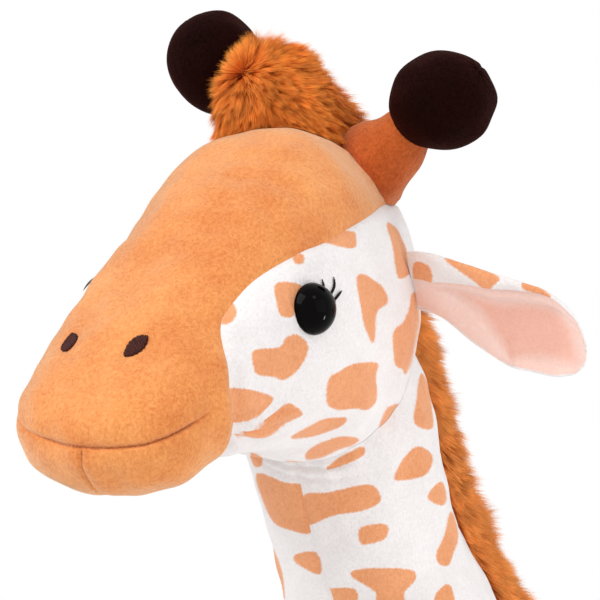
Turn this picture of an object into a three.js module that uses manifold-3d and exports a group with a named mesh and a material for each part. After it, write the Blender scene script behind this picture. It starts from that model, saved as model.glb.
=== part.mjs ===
import * as THREE from "three";
import { mergeVertices } from "three/addons/utils/BufferGeometryUtils.js";
import Module from "manifold-3d";

const wasm = await Module();
wasm.setup();

// A standing plush giraffe. Millimetres, +Z up, the animal looks along -Y and its left side is +X.

// Cloth, and the space left between pieces that touch.
const cloth = 2.0;
const gap = 0.3;

// Head: its centre, how it is turned, and its sizes in its own frame.
const headHeight = 600;
const headReach = 170;
const headPitch = 25;
const headYaw = 10;
const headRoll = 2.5;
const skullLength = 102;
const snoutLength = 138;
const cheekWidth = 124;
const muzzleWidth = 89;
const crownRise = 66;
const jawDrop = 101;
const muzzleRise = 24.5;
const muzzleDrop = 33.5;
const skullTip = 20;
const snoutTip = 7;

// Seams of the head: the mouth line, the back of the muzzle and the middle seam of chin and throat.
const mouthHeight = 5;
const muzzleSeam = 86;
const middleSeam = 6;

// Eyes.
const eyeDiameter = 22;
const eyeBulge = 9;
const eyeAhead = 28;
const eyeHeight = 14.5;
const shankDiameter = 5;
const shankLength = 7;
const washerDiameter = 16;
const washerThickness = 1.6;
const washerSeat = 1.8;
const eyeHoleDepth = 20;
const stitchHeight = 0.8;
const lashAngles = [124, 145, 167];
const lashLength = 6.5;
const lashRim = 1.2;

// Nostrils.
const nostrilSpacing = 36;
const nostrilShift = 4.6;
const nostrilAhead = 94;
const nostrilLength = 14;
const nostrilWidth = 7;

// Horns.
const ballDiameter = 47;
const hornSpread = 128;
const hornShift = 5;
const hornBack = 91;
const hornRise = 66;
const hornLean = 8;
const stalkBaseWidth = 44;
const stalkTopWidth = 21;

// Ears.
const earBack = 63;
const earLength = 87;
const earHeight = 52;
const earRootHeight = 33;
const earThickness = 9;
const earRootThickness = 2;
const earDrop = 21.5;
const earClearance = 0.6;

// Fur pieces.
const tuftWidth = 66;
const tuftLength = 72;
const tuftHeight = 62;
const tuftShift = 6;
const maneWidth = 26;
const maneHeight = 40;

// Neck.
const neckTopWidth = 97;
const neckBaseWidth = 130;
const neckFootBack = 82;
const neckFootRise = 4;
const neckBendBack = 25;
const neckBendRise = 112;
const throatBack = 56;
const throatDrop = 140;
const napeBack = 46;
const napeDrop = 26;

// Body.
const bodyLength = 244;
const bodyWidth = 146;
const bodyDepth = 154;
const bodyHeight = 266;
const chestReach = 62;
const bellyWidth = 60;

// Legs and hooves.
const footSpread = 84;
const hipSpread = 60;
const frontFoot = 30;
const frontHip = 8;
const rearFoot = 138;
const rearHip = 126;
const legTopWidth = 68;
const shinWidth = 56;
const soleWidth = 66;
const hoofHeight = 46;

// Tail.
const tailLength = 104;
const tailWidth = 14;
const tailRootWidth = 9;
const tailLean = 8;
const tailTuftLength = 62;
const tailTuftWidth = 30;

const vector = (x, y, z) => new THREE.Vector3(x, y, z);
const radians = THREE.MathUtils.degToRad;
const toy = new THREE.Group();

// The head's frame: x to the animal's left, y back and z up before it is turned.
const headFrame = new THREE.Matrix4().makeTranslation(0, -headReach, headHeight)
  .multiply(new THREE.Matrix4().makeRotationZ(radians(headYaw)))
  .multiply(new THREE.Matrix4().makeRotationY(radians(headRoll)))
  .multiply(new THREE.Matrix4().makeRotationX(radians(headPitch)));
const inHead = (x, y, z) => vector(x, y, z).applyMatrix4(headFrame);

// A smooth curve through a column of numbers that never overshoots them.
function smooth(places, values, at) {
  const last = places.length - 1;
  const x = Math.min(Math.max(at, places[0]), places[last]);
  let i = 0;
  while (i < last - 1 && x > places[i + 1]) i += 1;
  const rise = (k) => (values[k + 1] - values[k]) / (places[k + 1] - places[k]);
  const slope = (k) => {
    if (k === 0) return rise(0);
    if (k === last) return rise(last - 1);
    const before = rise(k - 1);
    const after = rise(k);
    return before * after <= 0 ? 0 : 2 * before * after / (before + after);
  };
  const span = places[i + 1] - places[i];
  const s = (x - places[i]) / span;
  const a = (1 + 2 * s) * (1 - s) * (1 - s);
  const b = s * (1 - s) * (1 - s) * span;
  const c = s * s * (3 - 2 * s);
  const d = s * s * (s - 1) * span;
  return a * values[i] + b * slope(i) + c * values[i + 1] + d * slope(i + 1);
}

// Rings of points joined in order, with a point at each end.
function loft(rings, start, end) {
  const sides = rings[0].length;
  const points = [...rings.flat(), start, end];
  const faces = [];
  for (let i = 0; i < rings.length - 1; i += 1) {
    for (let j = 0; j < sides; j += 1) {
      const a = i * sides + j;
      const b = i * sides + (j + 1) % sides;
      faces.push(a, b, b + sides, a, b + sides, a + sides);
    }
  }
  const first = rings.length * sides;
  const top = (rings.length - 1) * sides;
  for (let j = 0; j < sides; j += 1) {
    const next = (j + 1) % sides;
    faces.push(first, next, j, first + 1, top + j, top + next);
  }
  const geometry = new THREE.BufferGeometry();
  geometry.setAttribute("position", new THREE.Float32BufferAttribute(points.flatMap((p) => p.toArray()), 3));
  geometry.setIndex(faces);
  return geometry;
}

// A closed geometry as a solid, placed by a matrix and with its faces turned outward.
function solid(geometry, matrix = new THREE.Matrix4()) {
  const plain = geometry.clone();
  plain.deleteAttribute("normal");
  plain.deleteAttribute("uv");
  const merged = mergeVertices(plain, 1e-4);
  merged.applyMatrix4(matrix);
  const p = merged.attributes.position;
  const faces = Array.from(merged.index.array);
  const corner = (k) => vector(p.getX(faces[k]), p.getY(faces[k]), p.getZ(faces[k]));
  let volume = 0;
  for (let k = 0; k < faces.length; k += 3) volume += corner(k).dot(corner(k + 1).cross(corner(k + 2)));
  if (volume < 0) {
    for (let k = 0; k < faces.length; k += 3) [faces[k], faces[k + 1]] = [faces[k + 1], faces[k]];
  }
  return new wasm.Manifold(new wasm.Mesh({
    numProp: 3,
    vertProperties: new Float32Array(p.array),
    triVerts: new Uint32Array(faces),
  }));
}

function add(name, body, color, roughness = 0.95) {
  const mesh = body.getMesh();
  const geometry = new THREE.BufferGeometry();
  geometry.setAttribute("position", new THREE.BufferAttribute(Float32Array.from(mesh.vertProperties), 3));
  geometry.setIndex(Array.from(mesh.triVerts));
  const piece = new THREE.Mesh(geometry, new THREE.MeshStandardMaterial({ color, roughness, metalness: 0 }));
  piece.name = name;
  toy.add(piece);
}

// A padded form: ovals along an axis. A row is place, half width, top, bottom and squareness.
class Form {
  constructor(rows, toPoint, rings, sides) {
    this.places = rows.map((r) => r[0]);
    this.widths = rows.map((r) => r[1] * r[1]);
    this.middles = rows.map((r) => (r[2] + r[3]) / 2);
    this.depths = rows.map((r) => ((r[2] - r[3]) / 2) ** 2);
    this.powers = rows.map((r) => r[4] ?? 2);
    this.toPoint = toPoint;
    this.rings = rings;
    this.sides = sides;
  }

  oval(at) {
    return {
      width: Math.sqrt(Math.max(smooth(this.places, this.widths, at), 0)),
      depth: Math.sqrt(Math.max(smooth(this.places, this.depths, at), 0)),
      middle: smooth(this.places, this.middles, at),
      power: smooth(this.places, this.powers, at),
    };
  }

  // Height of the upper surface above a point at one side, and side of the form at one height.
  heightAt(at, across) {
    const o = this.oval(at);
    return o.middle + o.depth * (1 - Math.abs(across / o.width) ** o.power) ** (1 / o.power);
  }

  sideAt(at, height) {
    const o = this.oval(at);
    return o.width * (1 - Math.abs((height - o.middle) / o.depth) ** o.power) ** (1 / o.power);
  }

  geometry(inset) {
    const from = this.places[0];
    const length = this.places[this.places.length - 1] - from;
    const shrink = (length - 2 * inset) / length;
    const place = (at) => from + inset + (at - from) * shrink;
    const rings = [];
    for (let i = 1; i < this.rings; i += 1) {
      const at = from + length * (1 - Math.cos(Math.PI * i / this.rings)) / 2;
      const o = this.oval(at);
      const ring = [];
      for (let j = 0; j < this.sides; j += 1) {
        const angle = 2 * Math.PI * (j + 0.5) / this.sides;
        const bend = (v) => Math.sign(v) * Math.abs(v) ** (2 / o.power);
        const across = Math.max(o.width - inset, 0.4) * bend(Math.cos(angle));
        const up = o.middle + Math.max(o.depth - inset, 0.4) * bend(Math.sin(angle));
        ring.push(this.toPoint(place(at), across, up));
      }
      rings.push(ring);
    }
    const end = (at) => this.toPoint(place(at), 0, smooth(this.places, this.middles, at));
    return loft(rings, end(from), end(from + length));
  }
}

// Round sections along a curve.
function sweep(curve, radiusAt, rings, sides, widen = 1) {
  const loops = [];
  const side = vector(1, 0, 0);
  for (let i = 0; i <= rings; i += 1) {
    const u = i / rings;
    const ahead = curve.getTangent(u);
    const across = side.clone().addScaledVector(ahead, -side.dot(ahead)).normalize();
    const up = ahead.clone().cross(across);
    const ring = [];
    for (let j = 0; j < sides; j += 1) {
      const angle = 2 * Math.PI * (j + 0.5) / sides;
      const point = curve.getPoint(u);
      point.addScaledVector(across, widen * radiusAt(u) * Math.cos(angle));
      point.addScaledVector(up, radiusAt(u) * Math.sin(angle));
      ring.push(point);
    }
    loops.push(ring);
  }
  return loft(loops, curve.getPoint(0), curve.getPoint(1));
}

function ellipsoid(centre, rx, ry, rz, matrix, sides = 16, rings = 9) {
  const form = new Form(
    [[-rx, 0, 0, 0], [0, 1, 1, -1], [rx, 0, 0, 0]],
    (at, across, up) => vector(at, across, up),
    rings,
    sides,
  );
  form.oval = (at) => {
    const share = Math.sqrt(Math.max(1 - (at / rx) ** 2, 0));
    return { width: ry * share, depth: rz * share, middle: 0, power: 2 };
  };
  const place = matrix.clone().multiply(new THREE.Matrix4().makeTranslation(centre.x, centre.y, centre.z));
  return solid(form.geometry(0), place);
}

// A prism across a part, from an outline seen from its left side: (ahead, height) pairs.
function sidePrism(outline, from, to, matrix) {
  const shape = new THREE.Shape(outline.map(([ahead, height]) => new THREE.Vector2(-ahead, height)));
  const prism = new THREE.ExtrudeGeometry(shape, { depth: to - from, bevelEnabled: false });
  const turn = new THREE.Matrix4().makeBasis(vector(0, 1, 0), vector(0, 0, 1), vector(1, 0, 0));
  const start = new THREE.Matrix4().makeTranslation(from, 0, 0);
  return solid(prism, matrix.clone().multiply(start).multiply(turn));
}

function box(low, high, matrix = new THREE.Matrix4()) {
  const size = high.clone().sub(low);
  const middle = high.clone().add(low).multiplyScalar(0.5);
  const place = new THREE.Matrix4().makeTranslation(middle.x, middle.y, middle.z);
  return solid(new THREE.BoxGeometry(size.x, size.y, size.z), matrix.clone().multiply(place));
}

// An outline moved outward by a distance, corner by corner.
function grown(outline, distance) {
  const points = outline.map(([x, y]) => new THREE.Vector2(x, y));
  const sign = THREE.ShapeUtils.area(points) > 0 ? 1 : -1;
  return points.map((p, i) => {
    const before = points[(i + points.length - 1) % points.length];
    const after = points[(i + 1) % points.length];
    const one = p.clone().sub(before).normalize();
    const two = after.clone().sub(p).normalize();
    const out = new THREE.Vector2(one.y + two.y, -one.x - two.x).multiplyScalar(sign);
    out.divideScalar(1 + one.dot(two));
    return [p.x + out.x * distance, p.y + out.y * distance];
  });
}

function cylinder(radius, from, to, matrix, sides = 20) {
  const tube = new THREE.CylinderGeometry(radius, radius, to - from, sides);
  const turn = new THREE.Matrix4().makeRotationX(Math.PI / 2);
  const place = new THREE.Matrix4().makeTranslation(0, 0, (from + to) / 2);
  return solid(tube, matrix.clone().multiply(place).multiply(turn));
}

const orange = 0xe8935a;
const white = 0xf0ece6;
const brown = 0x33201a;
const furColour = 0xb8682c;
const filling = 0xf4f1ea;

// Forms.
const skull = -skullLength;
const cheek = cheekWidth / 2;
const muzzle = muzzleWidth / 2;
const head = new Form([
  [skull, 0, -skullTip, -skullTip, 2],
  [0.94 * skull, 0.5 * cheek, 0.24 * crownRise, -0.54 * jawDrop, 2],
  [0.82 * skull, 0.7 * cheek, 0.58 * crownRise, -0.87 * jawDrop, 1.95],
  [0.61 * skull, 0.83 * cheek, 0.83 * crownRise, -0.99 * jawDrop, 2.15],
  [0.36 * skull, 0.94 * cheek, crownRise, -jawDrop, 2.35],
  [0, cheek, 0.93 * crownRise, -0.88 * jawDrop, 2.35],
  [0.25 * snoutLength, 0.94 * cheek, 0.78 * crownRise, -0.61 * jawDrop, 2.3],
  [0.47 * snoutLength, 1.18 * muzzle, 1.69 * muzzleRise, -1.34 * muzzleDrop, 2.2],
  [0.65 * snoutLength, 1.1 * muzzle, 1.35 * muzzleRise, -1.13 * muzzleDrop, 2.2],
  [0.81 * snoutLength, muzzle, muzzleRise, -muzzleDrop, 2.15],
  [0.91 * snoutLength, 0.83 * muzzle, 0.64 * muzzleRise, -0.85 * muzzleDrop, 2.1],
  [0.97 * snoutLength, 0.54 * muzzle, 0.2 * muzzleRise, -0.6 * muzzleDrop, 2],
  [snoutLength, 0, -snoutTip, -snoutTip, 2],
], (at, across, up) => inHead(across, -at, up), 14, 16);

const chest = -chestReach;
const rump = bodyLength - chestReach;
const halfBody = bodyWidth / 2;
const halfDepth = bodyDepth / 2;
const body = new Form([
  [chest, 0, 0.08 * halfDepth, 0.08 * halfDepth, 2],
  [chest + 0.03 * bodyLength, 0.47 * halfBody, 0.56 * halfDepth, -0.4 * halfDepth, 2],
  [chest + 0.11 * bodyLength, 0.78 * halfBody, 0.84 * halfDepth, -0.73 * halfDepth, 2.1],
  [chest + 0.23 * bodyLength, 0.94 * halfBody, halfDepth, -0.94 * halfDepth, 2.2],
  [chest + 0.42 * bodyLength, halfBody, 0.96 * halfDepth, -halfDepth, 2.25],
  [chest + 0.62 * bodyLength, 0.99 * halfBody, 0.89 * halfDepth, -halfDepth, 2.25],
  [chest + 0.81 * bodyLength, 0.9 * halfBody, 0.84 * halfDepth, -0.91 * halfDepth, 2.2],
  [chest + 0.93 * bodyLength, 0.68 * halfBody, 0.7 * halfDepth, -0.62 * halfDepth, 2.1],
  [chest + 0.975 * bodyLength, 0.41 * halfBody, 0.64 * halfDepth, -0.1 * halfDepth, 2],
  [rump, 0, 0.36 * halfDepth, 0.36 * halfDepth, 2],
], (at, across, up) => vector(across, at, bodyHeight + up), 10, 16);

const neckCurve = new THREE.CubicBezierCurve3(
  vector(0, chest + neckFootBack, bodyHeight + neckFootRise),
  vector(0, chest + neckBendBack, bodyHeight + neckBendRise),
  inHead(0, throatBack, -throatDrop),
  inHead(0, napeBack, -napeDrop),
);
const neckWidths = [0.88 * neckBaseWidth, neckBaseWidth, 0.88 * neckBaseWidth, 0.8 * neckBaseWidth,
  neckTopWidth, 0.9 * neckTopWidth];
const neckPlaces = [0, 0.13, 0.3, 0.5, 0.75, 1];
const neckRadius = (inset) => (u) => smooth(neckPlaces, neckWidths.map((w) => w / 2 - inset), u);
const neck = (inset) => solid(sweep(neckCurve, neckRadius(inset), 7, 16));

const headSolid = (inset) => solid(head.geometry(inset));
const bodySolid = (inset) => solid(body.geometry(inset));
const headShell = headSolid(0).subtract(headSolid(cloth));
const headCore = headSolid(cloth + gap);
const bodyCore = bodySolid(cloth + gap);

// Eyes: a dome on a shank that passes through the cheek into a washer.
function eyeFrame(side) {
  const across = head.sideAt(eyeAhead, eyeHeight);
  const spot = inHead(side * across, -eyeAhead, eyeHeight);
  const ahead = inHead(side * head.sideAt(eyeAhead + 3, eyeHeight), -eyeAhead - 3, eyeHeight);
  const above = inHead(side * head.sideAt(eyeAhead, eyeHeight + 3), -eyeAhead, eyeHeight + 3);
  const out = ahead.sub(spot).cross(above.sub(spot)).multiplyScalar(-side).normalize();
  if (out.dot(inHead(side, 0, 0).sub(inHead(0, 0, 0))) < 0) out.negate();
  const across2 = vector(0, 0, 1).cross(out).normalize();
  const frame = new THREE.Matrix4().makeBasis(across2, out.clone().cross(across2), out);
  return frame.setPosition(spot);
}

function eyeGeometry() {
  const radius = eyeDiameter / 2;
  const profile = [new THREE.Vector2(0, -shankLength)];
  profile.push(new THREE.Vector2(shankDiameter / 2, -shankLength));
  profile.push(new THREE.Vector2(shankDiameter / 2, gap));
  profile.push(new THREE.Vector2(radius - 0.6, gap));
  for (let i = 1; i <= 5; i += 1) {
    const angle = Math.PI / 2 * i / 5;
    const reach = i === 5 ? 0 : radius * Math.cos(angle) ** 0.85;
    profile.push(new THREE.Vector2(reach, gap + 0.8 + (eyeBulge - 0.8) * Math.sin(angle)));
  }
  const turned = new THREE.LatheGeometry(profile, 16);
  return turned.rotateX(Math.PI / 2);
}

const washerTop = -(cloth + gap + washerSeat);
const shankHole = shankDiameter / 2 + gap;
let headPocket = headCore;
let cheekShell = headShell;
for (const side of [1, -1]) {
  const name = side > 0 ? "left" : "right";
  const frame = eyeFrame(side);
  add(`eye_${name}`, solid(eyeGeometry(), frame), 0x0c0a0a, 0.08);
  const washer = cylinder(washerDiameter / 2, washerTop - washerThickness, washerTop, frame, 16);
  add(`eye_washer_${name}`, washer.subtract(cylinder(shankHole, -eyeHoleDepth, 5, frame, 12)), 0xe6e6e6, 0.5);
  const seat = cylinder(washerDiameter / 2 + gap, washerTop - washerThickness - gap, 4, frame, 16);
  headPocket = headPocket.subtract(seat).subtract(cylinder(shankHole, -shankLength - gap, 4, frame, 12));
  cheekShell = cheekShell.subtract(cylinder(shankHole, -eyeHoleDepth, 5, frame, 12));
}

// Head: filling and panels.
const neckHole = neck(-gap);
add("head_stuffing", headPocket, filling);
const far = 300;
const cheekOutline = [
  [-far, -0.04 * crownRise], [0.98 * skull, -0.04 * crownRise], [0.82 * skull, 0.13 * crownRise],
  [0.62 * skull, 0.27 * crownRise], [0.4 * skull, 0.38 * crownRise], [0.15 * skull, 0.46 * crownRise],
  [0, 0.49 * crownRise],
  [0.27 * muzzleSeam, 0.54 * crownRise], [0.42 * muzzleSeam, 0.545 * crownRise],
  [0.6 * muzzleSeam, 0.5 * crownRise], [0.76 * muzzleSeam, 0.42 * crownRise],
  [0.87 * muzzleSeam, 0.26 * crownRise], [0.95 * muzzleSeam, 0.05 * crownRise],
  [muzzleSeam, -0.2 * crownRise], [muzzleSeam, -far], [-far, -far],
];
const cheekShape = grown(cheekOutline, -gap / 2);
const cheekCut = sidePrism(grown(cheekOutline, gap / 2), -far, far, headFrame);
const chinOutline = [[muzzleSeam + gap / 2, mouthHeight - gap / 2], [far, mouthHeight - gap / 2],
  [far, -far], [muzzleSeam + gap / 2, -far]];
const chinCut = sidePrism([[0, mouthHeight + gap / 2], [far, mouthHeight + gap / 2], [far, -far], [0, -far]],
  -far, far, headFrame);
add("forehead_muzzle_panel", headShell.subtract(cheekCut).subtract(chinCut), orange);
const chinLeft = sidePrism(chinOutline, middleSeam + gap / 2, far, headFrame);
const chinRight = sidePrism(chinOutline, -far, middleSeam - gap / 2, headFrame);
add("chin_panel_left", headShell.intersect(chinLeft), orange);
add("chin_panel_right", headShell.intersect(chinRight), orange);
const cheeks = cheekShell.subtract(neckHole);
add("cheek_panel_left", cheeks.intersect(sidePrism(cheekShape, gap / 2, far, headFrame)), white);
add("cheek_panel_right", cheeks.intersect(sidePrism(cheekShape, -far, -gap / 2, headFrame)), white);

// Embroidery lies on the cloth as thin patches.
const stitched = headSolid(-gap - stitchHeight).subtract(headSolid(-gap));
function nostril(side) {
  const across = side * nostrilSpacing / 2 - nostrilShift;
  const height = head.heightAt(nostrilAhead, across);
  const outline = [];
  for (let i = 0; i < 12; i += 1) {
    const angle = 2 * Math.PI * i / 12;
    const point = new THREE.Vector2(nostrilWidth / 2 * Math.sin(angle), nostrilLength / 2 * Math.cos(angle));
    point.rotateAround(new THREE.Vector2(), radians(-28 * side));
    outline.push(point);
  }
  const shape = new THREE.Shape(outline);
  const prism = new THREE.ExtrudeGeometry(shape, { depth: nostrilLength, bevelEnabled: false });
  const place = new THREE.Matrix4().makeTranslation(across, -nostrilAhead, height - nostrilLength / 2);
  return stitched.intersect(solid(prism, headFrame.clone().multiply(place)));
}
add("nostril_left", nostril(1), brown, 0.7);
add("nostril_right", nostril(-1), brown, 0.7);

// Lashes: a strip over the eye's upper back edge with three strokes.
function lashes(side) {
  const radius = eyeDiameter / 2;
  const points = [];
  const at = (angle, reach) => [eyeAhead + reach * Math.cos(angle), eyeHeight + reach * Math.sin(angle)];
  const strokes = lashAngles.map(radians);
  const half = radians(5);
  const rim = radius + lashRim;
  points.push(at(radians(112), rim));
  for (const angle of strokes) {
    points.push(at(angle - half, rim + lashRim), at(angle - 0.3 * half, rim + lashLength));
    points.push(at(angle + 0.3 * half, rim + lashLength), at(angle + half, rim + lashRim));
  }
  points.push(at(radians(178), rim));
  points.push(at(radians(156), rim), at(radians(134), rim));
  const from = side > 0 ? 0.5 * cheek : -far;
  const to = side > 0 ? far : -0.5 * cheek;
  return stitched.intersect(sidePrism(points, from, to, headFrame));
}
add("lashes_left", lashes(1), 0x151010, 0.6);
add("lashes_right", lashes(-1), 0x151010, 0.6);

// Horns: a stuffed stalk that stands on the head and a ball on its end.
const headOuter = headSolid(-gap);
const stalks = [];
for (const side of [1, -1]) {
  const name = side > 0 ? "left" : "right";
  const ball = vector(side * hornSpread / 2 + hornShift, hornBack, hornRise - side * hornLean);
  const root = vector(side * 0.18 * hornSpread, 0.89 * hornBack, 0.4 * hornRise - side * 0.4 * hornLean);
  const [from, to] = [root, ball].map((point) => point.clone().applyMatrix4(headFrame));
  const line = new THREE.LineCurve3(from, to);
  const taper = (grow) => (u) => grow + (stalkBaseWidth + (stalkTopWidth - stalkBaseWidth) * u ** 0.8) / 2;
  const radius = ballDiameter / 2;
  const around = (extra) => ellipsoid(ball, radius + extra, radius + extra, 0.96 * radius + extra,
    headFrame, 14, 9);
  const stalk = solid(sweep(line, taper(0), 5, 14)).subtract(headOuter).subtract(around(gap));
  add(`ossicone_stalk_${name}`, stalk, 0xcd7d4b);
  add(`ossicone_ball_${name}`, around(0), brown);
  stalks.push(solid(sweep(line, taper(gap), 5, 14)), around(gap));
}

// Ears: an outer and an inner cloth, thin at the root so that they can flop.
const earRoot = head.sideAt(-earBack, -earDrop) - cloth;
const earRow = (share, top, bottom, thick) => [
  earRoot + share * earLength, thick * earThickness / 2,
  -earDrop + top * earHeight, -earDrop + bottom * earHeight,
];
const earRows = [
  [earRoot, earRootThickness / 2, -earDrop + 0.49 * earRootHeight, -earDrop - 0.49 * earRootHeight, 2.6],
  [earRoot + 2 * cloth, earRootThickness / 2,
    -earDrop + earRootHeight / 2, -earDrop - earRootHeight / 2, 2.6],
  [...earRow(0.14, 0.28, -0.38, 0.55), 2.4],
  [...earRow(0.32, 0.24, -0.6, 0.9), 2.2],
  [...earRow(0.54, 0.19, -0.77, 1), 2.1],
  [...earRow(0.74, 0.1, -0.8, 0.9), 2],
  [...earRow(0.88, -0.02, -0.76, 0.75), 2],
  [...earRow(0.96, -0.2, -0.66, 0.5), 2],
  [...earRow(1, -0.45, -0.45, 0), 2],
];
const earRoom = headSolid(-earClearance);
for (const side of [1, -1]) {
  const name = side > 0 ? "left" : "right";
  const ear = new Form(earRows, (at, across, up) => inHead(side * at, earBack + across, up), 9, 14);
  const whole = solid(ear.geometry(0)).subtract(earRoom);
  const back = box(vector(-far, earBack + gap / 2, -far), vector(far, far, far), headFrame);
  const front = box(vector(-far, -far, -far), vector(far, earBack - gap / 2, far), headFrame);
  add(`ear_outer_${name}`, whole.intersect(back), white);
  add(`ear_inner_${name}`, whole.intersect(front), 0xf3c3b4);
}

// Fur: the forelock between the horns and the mane down the back of head and neck.
const tuftSolid = (grow) => ellipsoid(vector(-tuftShift, tuftLength, 0.87 * crownRise),
  tuftWidth / 2 + grow, tuftLength / 2 + grow, tuftHeight / 2 + grow, headFrame, 14, 8);
let tuft = tuftSolid(0).subtract(headOuter);
for (const stalk of stalks) tuft = tuft.subtract(stalk);
add("forelock", tuft, furColour);

const backOfNeck = (u, rise) => {
  const ahead = neckCurve.getTangent(u);
  const out = vector(0, 1, 0).addScaledVector(ahead, -ahead.y).normalize();
  return neckCurve.getPoint(u).addScaledVector(out, neckRadius(0)(u) + rise);
};
const crest = maneHeight / 2 - 4;
const maneCurve = new THREE.CatmullRomCurve3([
  inHead(0, 0.86 * skullLength, 0.3 * crownRise + crest),
  inHead(0, skullLength + 0.4 * crest, 0.02 * crownRise),
  inHead(0, skullLength + crest, -0.36 * jawDrop),
  backOfNeck(0.72, crest), backOfNeck(0.58, crest), backOfNeck(0.44, crest),
  backOfNeck(0.32, crest - 1), backOfNeck(0.22, crest - 6),
], false, "centripetal");
const maneRadius = (u) => (maneHeight / 2 + 4) * Math.min(1, 0.55 + 3 * u, 0.45 + 3 * (1 - u));
const neckOuter = neck(-gap);
const bodyOuter = bodySolid(-gap);
const mane = solid(sweep(maneCurve, maneRadius, 16, 10, maneWidth / (maneHeight + 8)));
let strip = mane.subtract(headOuter).subtract(neckOuter).subtract(bodyOuter).subtract(tuftSolid(gap));
for (const stalk of stalks) strip = strip.subtract(stalk);
add("mane", strip, furColour);

// Neck: filling and two panels that meet at the throat seam.
const neckShell = neck(0).subtract(neck(cloth));
const rootRoom = headSolid(cloth).add(bodySolid(cloth));
add("neck_stuffing", neck(cloth + gap).subtract(rootRoom), filling);
const leftOf = (x) => box(vector(x, -far * 3, -far), vector(far, far * 3, far * 4));
const rightOf = (x) => box(vector(-far, -far * 3, -far), vector(x, far * 3, far * 4));
const neckCloth = neckShell.subtract(rootRoom);
add("neck_panel_left", neckCloth.intersect(leftOf(middleSeam + gap / 2)), white);
add("neck_panel_right", neckCloth.intersect(rightOf(middleSeam - gap / 2)), white);

// Legs: filling, cover, hoof and flat sole.
const legForm = (foot, hip, inset) => {
  const top = bodyHeight - 0.1 * halfDepth;
  const rows = [
    [0, soleWidth],
    [0.6 * hoofHeight, 0.98 * soleWidth],
    [1.35 * hoofHeight, shinWidth],
    [0.6 * top, 1.04 * shinWidth],
    [0.82 * top, 0.5 * (shinWidth + legTopWidth)],
    [top, legTopWidth],
  ];
  const centre = (height) => foot.clone().lerp(hip, Math.max(height - hoofHeight, 0) / (top - hoofHeight));
  const rings = rows.map(([height, width]) => {
    const ring = [];
    for (let j = 0; j < 12; j += 1) {
      const angle = 2 * Math.PI * (j + 0.5) / 12;
      const out = vector(Math.cos(angle), Math.sin(angle), 0).multiplyScalar(width / 2 - inset);
      ring.push(centre(height).add(out).setZ(height));
    }
    return ring;
  });
  return solid(loft(rings, centre(0).setZ(0), centre(top).setZ(top)));
};
const legs = {
  front_left: [vector(footSpread / 2, -frontFoot, 0), vector(hipSpread / 2, -frontHip, 0)],
  front_right: [vector(-footSpread / 2, -frontFoot, 0), vector(-hipSpread / 2, -frontHip, 0)],
  rear_left: [vector(footSpread / 2, rearFoot, 0), vector(hipSpread / 2, rearHip, 0)],
  rear_right: [vector(-footSpread / 2, rearFoot, 0), vector(-hipSpread / 2, rearHip, 0)],
};
const between = (low, high) => box(vector(-far, -far * 2, low), vector(far, far * 2, high));
const bodyRoom = bodySolid(cloth);
let bodyShell = bodySolid(0).subtract(bodyRoom).subtract(neckOuter);
for (const [name, [foot, hip]] of Object.entries(legs)) {
  const shell = legForm(foot, hip, 0).subtract(legForm(foot, hip, cloth));
  add(`leg_stuffing_${name}`, legForm(foot, hip, cloth + gap).subtract(bodyRoom)
    .intersect(between(cloth + gap, far * 2)), filling);
  add(`leg_cover_${name}`, shell.subtract(bodyRoom).intersect(between(hoofHeight + gap / 2, far * 2)), white);
  add(`hoof_cover_${name}`, shell.intersect(between(cloth + gap, hoofHeight - gap / 2)), brown);
  add(`hoof_sole_${name}`, legForm(foot, hip, 0).intersect(between(-1, cloth)), brown);
  bodyShell = bodyShell.subtract(legForm(foot, hip, -gap));
}

// Body: filling, two sides and a belly piece between the legs.
add("body_stuffing", bodyCore, filling);
const bellyTop = bodyHeight - 0.3 * halfDepth;
const belly = box(vector(-bellyWidth / 2, -far, 0), vector(bellyWidth / 2, far, bellyTop));
const bellySide = bellyWidth / 2 - gap;
const bellyShape = box(vector(-bellySide, -far, 0), vector(bellySide, far, bellyTop - gap));
add("belly_panel", bodyShell.intersect(bellyShape), white);
const sides = bodyShell.subtract(belly);
add("body_panel_left", sides.intersect(leftOf(gap / 2)), white);
add("body_panel_right", sides.intersect(rightOf(-gap / 2)), white);

// Tail: a cloth tube that hangs from the rump, with a fur end.
const tailRadius = tailWidth / 2;
const rootRadius = tailRootWidth / 2;
const tailRoot = vector(0, rump + rootRadius + gap, bodyHeight + 0.36 * halfDepth);
const tailFrame = new THREE.Matrix4().makeRotationX(radians(tailLean)).setPosition(tailRoot);
const onTail = (down) => vector(0, 0, -down).applyMatrix4(tailFrame);
const tailLine = new THREE.LineCurve3(onTail(-0.6 * rootRadius), onTail(tailLength));
const tailRadii = [0.9 * rootRadius, rootRadius, tailRadius, tailRadius];
const tailTaper = (u) => smooth([0, 0.03, 0.22, 1], tailRadii, u);
add("tail", solid(sweep(tailLine, tailTaper, 6, 10)), white);
const tailTuft = ellipsoid(vector(0, 0, -tailLength - tailTuftLength / 2 + 4 * cloth), tailTuftWidth / 2,
  tailTuftWidth / 2, tailTuftLength / 2, tailFrame, 10, 8);
const tailRoom = cylinder(tailRadius + gap, -tailLength - gap, 0, tailFrame, 10);
add("tail_tuft", tailTuft.subtract(tailRoom), furColour);

// The origin is on the floor under the middle of the toy.
const around = new THREE.Box3().setFromObject(toy);
const middle = around.getCenter(vector(0, 0, 0));
toy.position.set(-middle.x, -middle.y, -around.min.z);
toy.updateMatrixWorld(true);

export default toy;
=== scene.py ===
import math
import bmesh
import bpy
import numpy as np
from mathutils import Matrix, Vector, kdtree


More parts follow.
